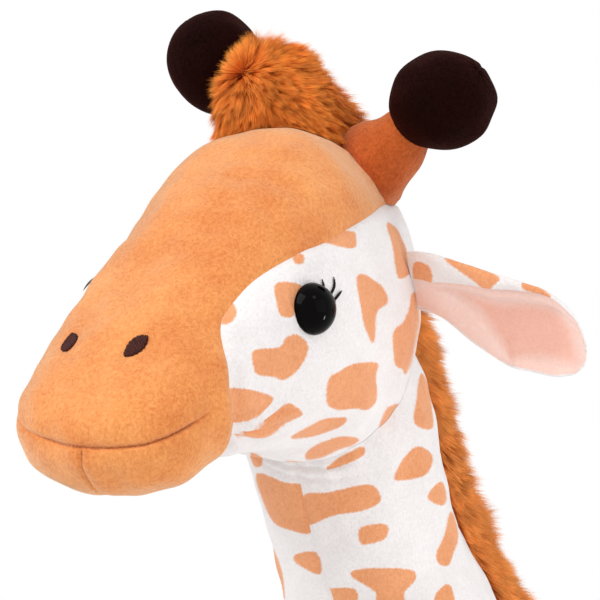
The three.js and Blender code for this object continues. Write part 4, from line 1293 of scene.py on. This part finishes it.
def build_leg(place, side, name):
    surface = lambda angle, h: leg_surface(place, side, angle, h)
    heights = np.linspace(0.5 * LEG_TOP, LEG_TOP + 30, SEARCH)
    high = by_angle(lambda a: meeting(surface, a, heights, lambda p: body_field(p) - SEWN_IN), 120)
    inner = inner_seam(side)
    turn_round = surface, inner, inner + 2 * math.pi
    points, faces, _, h = rolled(96, 90, *turn_round, level(HOOF_HEIGHT + ANKLE_GAP), high)
    faces = outward(points, faces, leg_frame(place, side, h)[0])
    spot = printed(points, point_normals(points, faces), [], 80 + len(name) + side, 9, 6, 12)
    printed_piece(f"leg_plush_{name}", points, faces, f"leg_cover_{name}", spot)
    points, faces, _, h = rolled(96, 34, *turn_round, level(0.4), level(HOOF_HEIGHT - ANKLE_GAP))
    faces = outward(points, faces, leg_frame(place, side, h)[0])
    make_piece(f"hoof_plush_{name}", points, faces, brown_plush, "toy",
               (f"hoof_cover_{name}",), WALL)
    radius = SOLE_WIDTH / 2 - SOLE_MARGIN
    bpy.ops.mesh.primitive_cylinder_add(vertices=64, radius=radius, depth=SOLE_THICKNESS)
    sole = bpy.context.object
    bpy.ops.object.mode_set(mode="EDIT")
    bpy.ops.mesh.select_all(action="SELECT")
    bpy.ops.mesh.bevel(offset=0.5, segments=3, affect="EDGES")
    bpy.ops.object.mode_set(mode="OBJECT")
    disc, triangles = arrays(sole)
    centre = leg_frame(place, side, np.array([SOLE_THICKNESS / 2]))[0][0]
    make_piece(f"hoof_base_{name}", disc + centre, triangles, brown_plush, "toy",
               (f"hoof_sole_{name}",))
    share, along, faces = sheet_start(28, 24)
    angles = share * 2 * math.pi
    h = 3 + (high(angles) - 6) * along
    centre, radius = leg_frame(place, side, h)
    out = np.stack([np.cos(angles), np.sin(angles), 0 * angles], -1)
    points = centre + out * ((radius - FILLING_INSET) * closing(along))[:, None]
    filling_piece(f"leg_filling_{name}", points, outward(points, faces, centre), f"leg_stuffing_{name}")


for place in FEET:
    for side, name in SIDES:
        build_leg(place, side, f"{place}_{name}")


# Horns: a stuffed stalk sewn to the head and a ball sewn on its end.
def horn_line(side):
    return from_head(np.array(HORN_ROOTS[side])), from_head(np.array(HORN_BALLS[side]))


def build_horn(name, side):
    root, ball = horn_line(side)
    axis = unit(ball - root)
    across = unit(np.cross(axis, (0.2, 0.9, 0.3)))
    up = np.cross(axis, across)
    reach, stretch, squash = BALL_DIAMETER / 2, BALL_STRETCH[side], np.array(BALL_SQUASH[side])
    backward = HEAD_TURN[:, 1]
    seam_angle = math.atan2(backward @ up, backward @ across)

    def ball_field(p):
        offset = (p - ball) / squash
        along = offset @ axis
        around = np.linalg.norm(offset - along[..., None] * axis, axis=-1)
        return np.hypot(np.where(along < 0, along / stretch, along), around) - reach

    def surface(angle, u):
        angle, u = np.broadcast_arrays(np.asarray(angle, float), np.asarray(u, float))
        radius = smooth(STALK_PLACES, STALK_WIDTHS, u) / 2
        out = around(angle, across, up)
        plain = root + (ball - root) * u[..., None] + out * radius[..., None]
        to_ball = np.maximum(ball_field(plain), 0)
        pull = groove(np.maximum(head_field(plain), 0), 1.4, 3) + groove(to_ball, 0.9, 3)
        seam = np.abs(wrapped(angle - seam_angle)) * radius
        pull = pull + groove(seam, 1.0, 1.2) + 0.35 * np.sin(angle * 9) * np.exp(-to_ball / 6)
        lumps = 0.5 * ripples(plain.reshape(-1, 3), 20, 91).reshape(angle.shape)
        return plain + out * (pull + lumps)[..., None]

    down, out = np.linspace(0.62, 0, SEARCH), np.linspace(0.3, 1, SEARCH)
    low = by_angle(lambda a: meeting(surface, a, down, lambda p: cloth_field(p) - SEWN_IN), 120)
    high = by_angle(lambda a: meeting(surface, a, out, lambda p: ball_field(p) - SEWN_IN), 120)
    points, faces, _, u = rolled(80, 40, surface, seam_angle, seam_angle + 2 * math.pi, low, high)
    faces = outward(points, faces, root + (ball - root) * u[:, None])
    make_piece(f"horn_stalk_{name}", points, faces, horn_plush, "toy",
               (f"ossicone_stalk_{name}",), WALL)
    unit_points, _, round_it, faces = ball_start(96, 64)
    beyond = np.hypot(unit_points[:, 0], unit_points[:, 1])
    seam = np.abs(wrapped(round_it - seam_angle)) * beyond * reach
    size = reach + groove(seam, 0.6, 1.1) + 0.35 * ripples(unit_points * reach, 17, 95)
    size = size + 0.2 * np.sin(round_it * 10) * np.exp(-(beyond / 0.3) ** 2)
    frame_turn = np.stack([across, up, axis], 1)
    unit_points[:, 2] *= np.where(unit_points[:, 2] < 0, stretch, 1)
    points = (unit_points * size[:, None]) @ frame_turn.T * squash + ball
    points, faces = outward_from(points, faces, ball)
    make_piece(f"horn_ball_{name}", points, faces, brown_plush, "toy",
               (f"ossicone_ball_{name}",))


for side, name in SIDES:
    build_horn(name, side)


# Ears: a printed outer cloth folded over the upper edge, and a pink lining that cups behind the fold.
EAR_ROOT = float(head.side_at(-EAR_BACK, -EAR_DROP)) + 0.4
EAR_AT = [0, 0.05, 0.14, 0.32, 0.54, 0.74, 0.88, 0.96, 1]
EAR_TOP = [0.3, 0.31, 0.3, 0.245, 0.19, 0.12, 0.0, -0.16, -0.46]
EAR_BOTTOM = [-0.3, -0.31, -0.36, -0.58, -0.76, -0.8, -0.77, -0.68, -0.46]
EAR_FOLD = [17, 16.5, 14.8, 10.8, 6.8, 2.8, 1.3, 1.3, 1.3]
EAR_LIP, EAR_SAG = 1.3, 2.6
# How much shorter the cloth is than the ear, how far out it starts, and the sheet it is shaped from.
EAR_SHORT, EAR_OUT, EAR_SHEET = 2.4, 0.45, (110, 120)
# The hollow of the lining as shares of its height, under a crease along the fold and over one to the edge.
HOLLOW_AT = [0, 0.14, 0.36, 0.5, 0.6, 1]
HOLLOW_LOW = [0.86, 0.8, 0.52, 0.24, -0.1, -0.1]
HOLLOW_HIGH = [0.9, 0.87, 0.83, 0.82, 0.84, 0.84]


def ear_section(s, c):
    """Height and cup of the ear at a share of its length, c running from its lower edge to its upper one."""
    top, bottom = smooth(EAR_AT, EAR_TOP, s), smooth(EAR_AT, EAR_BOTTOM, s)
    middle = (top + bottom) / 2 * EAR_HEIGHT
    square = smooth(EAR_AT, ((np.array(EAR_TOP) - EAR_BOTTOM) / 2) ** 2, s)
    half = np.sqrt(np.maximum(square, 0)) * EAR_HEIGHT
    height = middle + half * c - EAR_DROP - EAR_SAG * step(0.15, 0.6, s)
    cup = 2.6 * step(0, 0.3, s) * step(1.02, 0.8, s) * (1 - c * c)
    share = (c + 1) / np.maximum(2 - smooth(EAR_AT, EAR_FOLD, s) / np.maximum(half, 5), 0.5)
    under, over = smooth(HOLLOW_AT, HOLLOW_LOW, s), smooth(HOLLOW_AT, HOLLOW_HIGH, s)
    hollow = step(-0.1, 0.1, share - under) * step(0.06, -0.06, share - over) * step(0.03, 0.3, s)
    return height, cup + 3.0 * hollow * step(1, 0.8, s) * step(-1, -0.8, c), half


def ear_place(side, s, height, thick):
    along = EAR_ROOT + s * (EAR_LENGTH - EAR_SHORT) + EAR_OUT
    return from_head(np.stack([side * along, EAR_BACK + thick, height], -1))


def build_ear(name, side):
    edge = lambda c: np.maximum(1 - np.abs(c) ** 5, 0) ** 0.5
    layer = lambda s: 0.5 + 1.5 * step(0.02, 0.25, s) * step(1.0, 0.9, s)
    share, along, faces = sheet_start(*EAR_SHEET)
    s = 1 - (1 - along) ** 1.5
    half = np.maximum(ear_section(s, 0 * s)[2], 0.1)
    fold = np.minimum(smooth(EAR_AT, EAR_FOLD, s), 0.9 * half)
    lip = np.minimum(EAR_LIP, 0.5 * half)
    lower, upper = 0.07, 0.66
    c = np.where(share < lower, -1 + lip / half * (1 - share / lower),
                 np.where(share < upper, -1 + 2 * (share - lower) / (upper - lower),
                          1 - fold / half * (share - upper) / (1 - upper)))
    height, cup, half = ear_section(s, c)
    strip = np.clip((share - upper) / (1 - upper), 0, 1)
    puff = 1.3 * np.sin(np.pi * np.clip(strip * 0.75 + 0.02, 0, 1)) * np.minimum(fold / 8, 1)
    behind = (share >= lower) & (share < upper)
    wave = 0.35 * ripples(np.stack([s * EAR_LENGTH, height, 0 * s], 1), 22, 101)
    thick = cup + np.where(behind, 1, -1) * edge(c) * layer(s) - np.where(behind, 0, puff + 0.25) + wave
    points = ear_place(side, s, height, thick)
    faces = outward(points, faces, ear_place(side, s, ear_section(s, 0.9 * c)[0], cup))
    normals = point_normals(points, faces)
    spot = printed(points, normals, EAR_SPOTS if side > 0 else [], 110 + side, 10, 5, 9)
    printed_piece(f"ear_plush_{name}", points, faces, f"ear_outer_{name}", spot, f"ear_{name}", EAR_WALL)
    share, along, faces = sheet_start(*EAR_SHEET)
    s = 0.004 + 0.99 * (1 - (1 - along) ** 1.5)
    half = np.maximum(ear_section(s, 0 * s)[2], 0.6)
    fold = np.minimum(smooth(EAR_AT, EAR_FOLD, s), 0.9 * half)
    high, low = 1 - np.maximum(fold - 1.2, 0.5) / half, -1 + 0.5 / half
    c = low + (high - low) * share
    height, cup, _ = ear_section(s, c)
    under = smooth(HOLLOW_AT, HOLLOW_LOW, s)
    fullness = 0.9 * np.sin(np.pi * np.clip(share / np.maximum(under, 0.05), 0, 1)) * (under > 0.1)
    wave = 0.35 * ripples(np.stack([s * EAR_LENGTH, height, 0 * s], 1), 18, 103)
    front = edge(c) * layer(s) * 0.85 + fullness * step(0.02, 0.2, s) + wave * edge(c)
    points = ear_place(side, s, height, cup - front)
    faces = outward(points, faces, ear_place(side, s, height, cup + 6))
    over = smooth(HOLLOW_AT, HOLLOW_HIGH, s)
    # Painted shade: how far each point lies into the hollow, from the rim and the fold, sets how deep a pink
    # the lining is painted.
    rim = np.minimum((c + 1) * half, np.minimum((over - share) * 2 * half, (1 - s) * EAR_LENGTH))
    depth = np.minimum(rim - 7, (share - under) * half * 2 - 1.5) - 1.5 * ripples(points, 30, 107)
    make_piece(f"ear_lining_{name}", points, faces, pink_plush, f"ear_{name}",
               (f"ear_inner_{name}",), LINING_WALL, {"spot": -depth})


for side, name in SIDES:
    build_ear(name, side)


# Long pile: strands that grow from a backing, drawn together in small locks.
def on_triangles(points, faces, count, source):
    """Random places spread evenly over a mesh, with their normals."""
    corners = points[faces]
    across = np.cross(corners[:, 1] - corners[:, 0], corners[:, 2] - corners[:, 0])
    area = np.linalg.norm(across, axis=1)
    chosen = source.choice(len(faces), count, p=area / area.sum())
    a, b = source.random(count), source.random(count)
    over = a + b > 1
    a[over], b[over] = 1 - a[over], 1 - b[over]
    picked = corners[chosen]
    places = (picked[:, 0] + a[:, None] * (picked[:, 1] - picked[:, 0])
              + b[:, None] * (picked[:, 2] - picked[:, 0]))
    return places, unit(across[chosen])


STRAND_LEVELS = np.array([0, 0.4, 0.75, 1.0])
STRAND_WIDTHS = np.array([0.85, 1.0, 0.7])
STRAND_POINTS, STRANDS_A_LOCK, LOCK_WIDTH = 7, 30, 2.2


def strands(roots, normals, comb, length, source, gather=0.5, thickness=0.32, wild=0.2, rise=0.7):
    """Flat tapering strands: points, faces, normals, and each point's tint and place along its strand."""
    count = len(roots)
    lengths = length * source.uniform(0.75, 1.15, count)
    locks = source.choice(count, max(count // STRANDS_A_LOCK, 1), replace=False)
    tree = nearest_tree(roots[locks])
    lock = np.array([tree.find(Vector(r))[1] for r in roots])
    lean = source.normal(size=(len(locks), 3)) * wild
    direction = unit(comb + source.normal(size=(count, 3)) * 0.1 + lean[lock])
    lock_direction = unit(comb[locks] + lean)
    lock_length = lengths[locks] * source.uniform(0.9, 1.12, len(locks))
    apart = np.linalg.norm(roots - roots[locks][lock], axis=1)
    nearness = np.clip(1.1 - apart / (2 * LOCK_WIDTH), 0.25, 1)

    def path(root, normal, combed, reach, t):
        return root + reach[:, None] * (normal * (t - 0.35 * t * t) * rise + combed * t * t * 0.75)

    rows = []
    for t in STRAND_LEVELS:
        single = path(roots, normals, direction, lengths, t)
        shared = path(roots[locks], normals[locks], lock_direction, lock_length, t)[lock]
        draw = (gather * t ** 1.2 * nearness)[:, None]
        rows.append(single * (1 - draw) + shared * draw)
    along = unit(rows[-1] - rows[0])
    flat = unit(unit(np.cross(along, normals)) + source.normal(size=(count, 3)) * 0.3)
    points = np.empty((count, STRAND_POINTS, 3))
    for k, width in enumerate(STRAND_WIDTHS):
        points[:, 2 * k] = rows[k] - flat * width * thickness / 2
        points[:, 2 * k + 1] = rows[k] + flat * width * thickness / 2
    points[:, 6] = rows[3]
    pattern = np.array([(0, 1, 3), (0, 3, 2), (2, 3, 5), (2, 5, 4), (4, 5, 6)])
    faces = (np.arange(count)[:, None, None] * STRAND_POINTS + pattern[None]).reshape(-1, 3)
    levels = np.append(np.repeat(STRAND_LEVELS[:3], 2), 1.0)
    tint = np.clip(source.normal(0.5, 0.14, count) + source.normal(0, 0.13, len(locks))[lock], 0, 1)
    tints = np.stack([np.repeat(tint, STRAND_POINTS), np.tile(levels, count)], 1)
    soft = np.repeat(unit(normals + 0.45 * np.cross(flat, along)), STRAND_POINTS, 0)
    return points.reshape(-1, 3), faces, soft, tints


# How far above the form beneath it a strand is kept.
STRAND_CLEAR = 0.5


def grow(name, roots, normals, comb, length, source, rides, stands_for, over=None, pile=fur_orange, **style):
    """One piece of long pile. Strands that would go inside the form of the field over are laid on it."""
    points, faces, soft, tints = strands(roots, normals, comb, length, source, **style)
    if over is not None:
        depth = over(points)
        inside = np.flatnonzero(depth < STRAND_CLEAR)
        slope = np.stack([over(points[inside] + nudge) - depth[inside] for nudge in np.eye(3)], 1)
        points[inside] += unit(slope) * (STRAND_CLEAR - depth[inside])[:, None]
    obj = make_piece(name, points, faces, pile, rides, (stands_for,), tints=tints)
    obj.data.normals_split_custom_set_from_vertices(soft.tolist())


def fuller(count):
    return count


# Forelock: a rounded backing between the horns with two puffs, its pile parted between them.
TUFT_CENTRE = np.array([-11.0, 80.0, 56.0])
TUFT_HALF = np.array([24.5, 24.0, 28.5])
TUFT_PARTING = 0.25
TUFT_CROWN = from_head(np.array([-21.0, 68.0, 80.0]))
TUFT_STRANDS = 72000


def build_forelock():
    unit_points, _, _, faces = ball_start(96, 64)
    parting = np.exp(-((unit_points[:, 0] - TUFT_PARTING) / 0.2) ** 2)
    square = np.sign(unit_points) * np.abs(unit_points) ** 0.94
    p = TUFT_CENTRE + square * TUFT_HALF * (1 - 0.1 * parting)[:, None]
    p[:, 2] -= 19 * step(-0.4, 1.0, unit_points[:, 0]) * step(-0.5, 0.4, unit_points[:, 2])
    front_right = step(0, -0.9, unit_points[:, 0]) * step(0.2, -0.7, unit_points[:, 1])
    p += np.array([0, -9.0, -2.0]) * front_right[:, None]
    p, faces = outward_from(p, faces, TUFT_CENTRE)
    world = from_head(p)
    columns, outer, _ = cut(world, faces, cloth_field(world) - 0.3)
    points, faces = kept(columns, outer)
    make_piece("forelock_backing", points, faces, fur_skin, "toy", ("forelock",))
    source = np.random.default_rng(201)
    roots, normals = on_triangles(points, faces, fuller(TUFT_STRANDS), source)
    away = roots - TUFT_CROWN
    sweep = unit(away - (away * normals).sum(1, keepdims=True) * normals)
    sweep *= (0.35 + 0.65 * step(1, 10, np.linalg.norm(away, axis=1)))[:, None]
    sweep += 0.25 * np.stack([ripples(roots, 22, 211 + k) for k in range(3)], 1)
    comb = unit(sweep + normals * 0.5 - (0, 0, 0.15))
    length = 12.5 + 1.5 * ripples(roots, 24, 205)
    across = to_head(roots)[:, 0]
    middle = np.median(across)
    for name, chosen in (("left", across < middle), ("right", across >= middle)):
        grow(f"forelock_pile_{name}", roots[chosen], normals[chosen], comb[chosen], length[chosen], source,
             "toy", "forelock", cloth_field, thickness=0.25, wild=0.16, gather=0.34, rise=0.5)


build_forelock()


# Mane: a strip of long pile down the back of the head and neck.
def mane_line():
    """Points on the ridge of head and neck that the mane is sewn along, from the crown down."""
    rows = []
    for back, height in ((0.86, 0.3), (0.95, 0.05), (0.99, -0.2), (0.98, -0.42)):
        rows.append(from_head(np.array([0, -SKULL * back, CROWN * height])))
    for u in (0.74, 0.66, 0.58, 0.51, 0.44, 0.38, 0.32, 0.27, 0.23):
        centre, _, back, radius = neck_frame(u)
        rows.append(centre + back * (radius + 1 + neck_hollow(0.5 * math.pi, u)))
    return smooth_line(rows, 8)


MANE_SHARE = [0, 0.06, 0.13, 0.2, 0.28, 0.42, 0.55, 0.86, 1]
MANE_SIZE = [0.01, 0.02, 0.06, 0.5, 0.8, 0.78, 0.8, 1.05, 0.35]
MANE_HALF, MANE_TALL, MANE_STRANDS = 19.0, 17.0, 98000


def build_mane():
    line = mane_line()
    along = unit(np.gradient(line, axis=0))
    side = unit(np.array([1.0, 0, 0]) - along * along[:, :1])
    out = np.cross(side, along)
    out = out * np.sign(out[:, 1:2])
    size = smooth(MANE_SHARE, MANE_SIZE, np.linspace(0, 1, len(line)))
    angle = np.linspace(0, 2 * math.pi, 33)[:-1]
    rings = (line[:, None] + side[:, None] * (np.cos(angle)[None, :, None] * MANE_HALF * size[:, None, None])
             + out[:, None] * (np.sin(angle)[None, :, None] * MANE_TALL * size[:, None, None]))
    points, faces = capped(rings, line)
    field = np.minimum(np.minimum(head_field(points), neck_field(points)), body_field(points)) - 0.4
    columns, outer, _ = cut(points, faces, field)
    points, faces = kept(columns, outer)
    make_piece("mane_backing", points, faces, fur_skin, "toy", ("mane",))
    source = np.random.default_rng(301)
    roots, normals = on_triangles(points, faces, fuller(MANE_STRANDS), source)
    tree = nearest_tree(line)
    near = np.array([tree.find(Vector(r))[1] for r in roots])
    comb = unit(along[near] * 0.6 + out[near] * 0.2 + normals * 0.5 + (0, 0, -0.1))
    length = (14.5 + 2.5 * ripples(roots, 22, 305)) * np.clip(size[near] + 0.1, 0, 1)
    parts = np.quantile(near, (0, 1 / 3, 2 / 3, 1))
    for k, name in enumerate(("upper", "middle", "lower")):
        chosen = (near > parts[k]) & (near <= parts[k + 1])
        # The mane takes the pile copy with more painted shade at its roots.
        grow(f"mane_pile_{name}", roots[chosen], normals[chosen], comb[chosen], length[chosen], source,
             "toy", "mane", neck_field, mane_orange_shaded, thickness=0.26, wild=0.13, gather=0.22)


build_mane()


# Tail: a stuffed tube that hangs from the rump, with a tuft of long pile.
TAIL_FRAME = turn("x", TAIL_LEAN)
TAIL_PLACE = np.array([0, RUMP + TAIL_ROOT / 2 + 0.3, BODY_HEIGHT + 0.36 * BODY_DEPTH]) + SHIFT
# How far the tail starts above its hinge, the tuft's half sizes, how far its centre is below the tail's end,
# and its pile.
TAIL_ABOVE, TAIL_TUFT, TAIL_TUFT_DROP = 2.7, (9.5, 9.5, 21), 12
TAIL_STRANDS, TAIL_PILE = 10000, 17.0


def on_tail(p):
    return p @ TAIL_FRAME.T + TAIL_PLACE


def build_tail():
    share, along, faces = sheet_start(40, 60)
    angle = share * 2 * math.pi
    down = -TAIL_ABOVE + (TAIL_LENGTH + TAIL_ABOVE) * along
    radii = [0.9 * TAIL_ROOT / 2, TAIL_ROOT / 2, TAIL_WIDTH / 2, TAIL_WIDTH / 2]
    radius = smooth([0, 0.03, 0.22, 1], radii, along) * closing(along, 0.03)
    p = np.stack([radius * np.cos(angle), radius * np.sin(angle), -down], 1)
    p[:, :2] *= (1 + 0.25 * ripples(p, 16, 121) / 8)[:, None]
    points = on_tail(p)
    faces = outward(points, faces, on_tail(p * (0, 0, 1)))
    spot = printed(points, point_normals(points, faces), [], 125, 9, 4, 7)
    printed_piece("tail_plush", points, faces, "tail", spot, "tail", 0.0)
    unit_points, _, _, faces = ball_start(40, 28)
    p = unit_points * TAIL_TUFT + (0, 0, -TAIL_LENGTH - TAIL_TUFT_DROP)
    hole = np.hypot(p[:, 0], p[:, 1]) - TAIL_WIDTH / 2 - 0.4
    above = -TAIL_LENGTH - 1.0 - p[:, 2]
    middle = on_tail(np.array([0, 0, -TAIL_LENGTH - TAIL_TUFT_DROP]))
    points, faces = outward_from(on_tail(p), faces, middle)
    columns, outer, _ = cut(points, faces, np.maximum(hole, above))
    points, faces = kept(columns, outer)
    make_piece("tail_tuft_backing", points, faces, fur_skin, "tail", ("tail_tuft",))
    source = np.random.default_rng(401)
    roots, normals = on_triangles(points, faces, fuller(TAIL_STRANDS), source)
    comb = unit(np.repeat(on_tail(np.array([[0, 0, -1.0]])) - on_tail(np.zeros((1, 3))), len(roots), 0)
                + normals * 0.25)
    length = np.full(len(roots), TAIL_PILE)
    grow("tail_tuft_pile", roots, normals, comb, length, source, "tail", "tail_tuft")


build_tail()


# Floor, light and camera.
PAPER, PAPER_GRAIN = (0.9, 0.9, 0.9, 1), (0.86, 0.86, 0.86, 1)


def seen_straight(tree):
    """Whether a ray comes straight from the camera, or by a mirror or glass."""
    ray = node(tree, "ShaderNodeLightPath")
    seen = maths(tree, "MAXIMUM", ray.outputs["Is Camera Ray"], ray.outputs["Is Glossy Ray"])
    return maths(tree, "MAXIMUM", seen, ray.outputs["Is Transmission Ray"])


def backdrop():
    bpy.ops.mesh.primitive_circle_add(vertices=96, radius=14, fill_type="NGON", location=(0, 0, -0.0005))
    floor = bpy.context.object
    floor.name = "studio_floor"
    material, tree, shader = new_material("studio_floor")
    place = object_place(tree)
    grain = noise_at(tree, place, 30, 2)
    tree.links.new(mixed(tree, grain, PAPER_GRAIN, PAPER), shader.inputs["Base Color"])
    set_inputs(shader, {"Roughness": 0.9, "Specular IOR Level": 0.1})
    glow = node(tree, "ShaderNodeEmission")
    set_inputs(glow, {"Color": (1, 1, 1, 1)})
    mix = node(tree, "ShaderNodeMixShader")
    away = node(tree, "ShaderNodeVectorMath", operation="LENGTH")
    tree.links.new(place, away.inputs[0])
    glare = spread(tree, away.outputs["Value"], 0.5, 1.4, 0.7, 1.0)
    tree.links.new(maths(tree, "MULTIPLY", seen_straight(tree), glare), mix.inputs[0])
    tree.links.new(shader.outputs[0], mix.inputs[1])
    tree.links.new(glow.outputs[0], mix.inputs[2])
    tree.links.new(mix.outputs[0], tree.nodes["Material Output"].inputs["Surface"])
    floor.data.materials.append(material)


def world_light(brightness):
    world = bpy.data.worlds.new("studio")
    bpy.context.scene.world = world
    world.use_nodes = True
    tree = world.node_tree
    sky = tree.nodes["Background"]
    set_inputs(sky, {"Color": (1, 1, 1, 1)})
    tree.links.new(spread(tree, seen_straight(tree), 0, 1, brightness, 1.0), sky.inputs["Strength"])


def soft_box(name, right, up, back, distance, size, power):
    """A lamp of two sides that looks at the head from a direction given as the camera sees it."""
    aim = unit(CAMERA_RIGHT * right + CAMERA_UP * up + CAMERA_BACK * back)
    lamp = bpy.data.lights.new(name, "AREA")
    lamp.shape = "RECTANGLE"
    lamp.size, lamp.size_y = size
    lamp.energy = power
    obj = bpy.data.objects.new(name, lamp)
    bpy.context.scene.collection.objects.link(obj)
    obj.location = Vector(LOOK_AT * MM + aim * distance)
    obj.rotation_euler = Vector(-aim).to_track_quat("-Z", "Y").to_euler()


def camera():
    lens = bpy.data.cameras.new("camera")
    lens.sensor_width = 36
    lens.lens = FOCAL_PIXELS * lens.sensor_width / PICTURE
    lens.clip_start, lens.clip_end = 0.05, 60
    obj = bpy.data.objects.new("camera", lens)
    bpy.context.scene.collection.objects.link(obj)
    obj.location = Vector(CAMERA_PLACE * MM)
    obj.rotation_euler = Vector(-CAMERA_BACK).to_track_quat("-Z", "Y").to_euler()
    bpy.context.scene.camera = obj


backdrop()
world_light(0.78)
soft_box("key", -0.75, 0.8, 0.55, 1.7, (1.2, 1.2), 18)
soft_box("fill", 0.9, 0.25, 0.6, 1.9, (1.4, 1.4), 3.5)
soft_box("glint", 0.88, -0.41, 0.23, 0.9, (0.07, 0.17), 1.5)
soft_box("upper_glint", 0.38, 0.72, 0.58, 1.2, (0.25, 0.25), 0.8)
camera()
bpy.context.scene.view_settings.view_transform = "Standard"
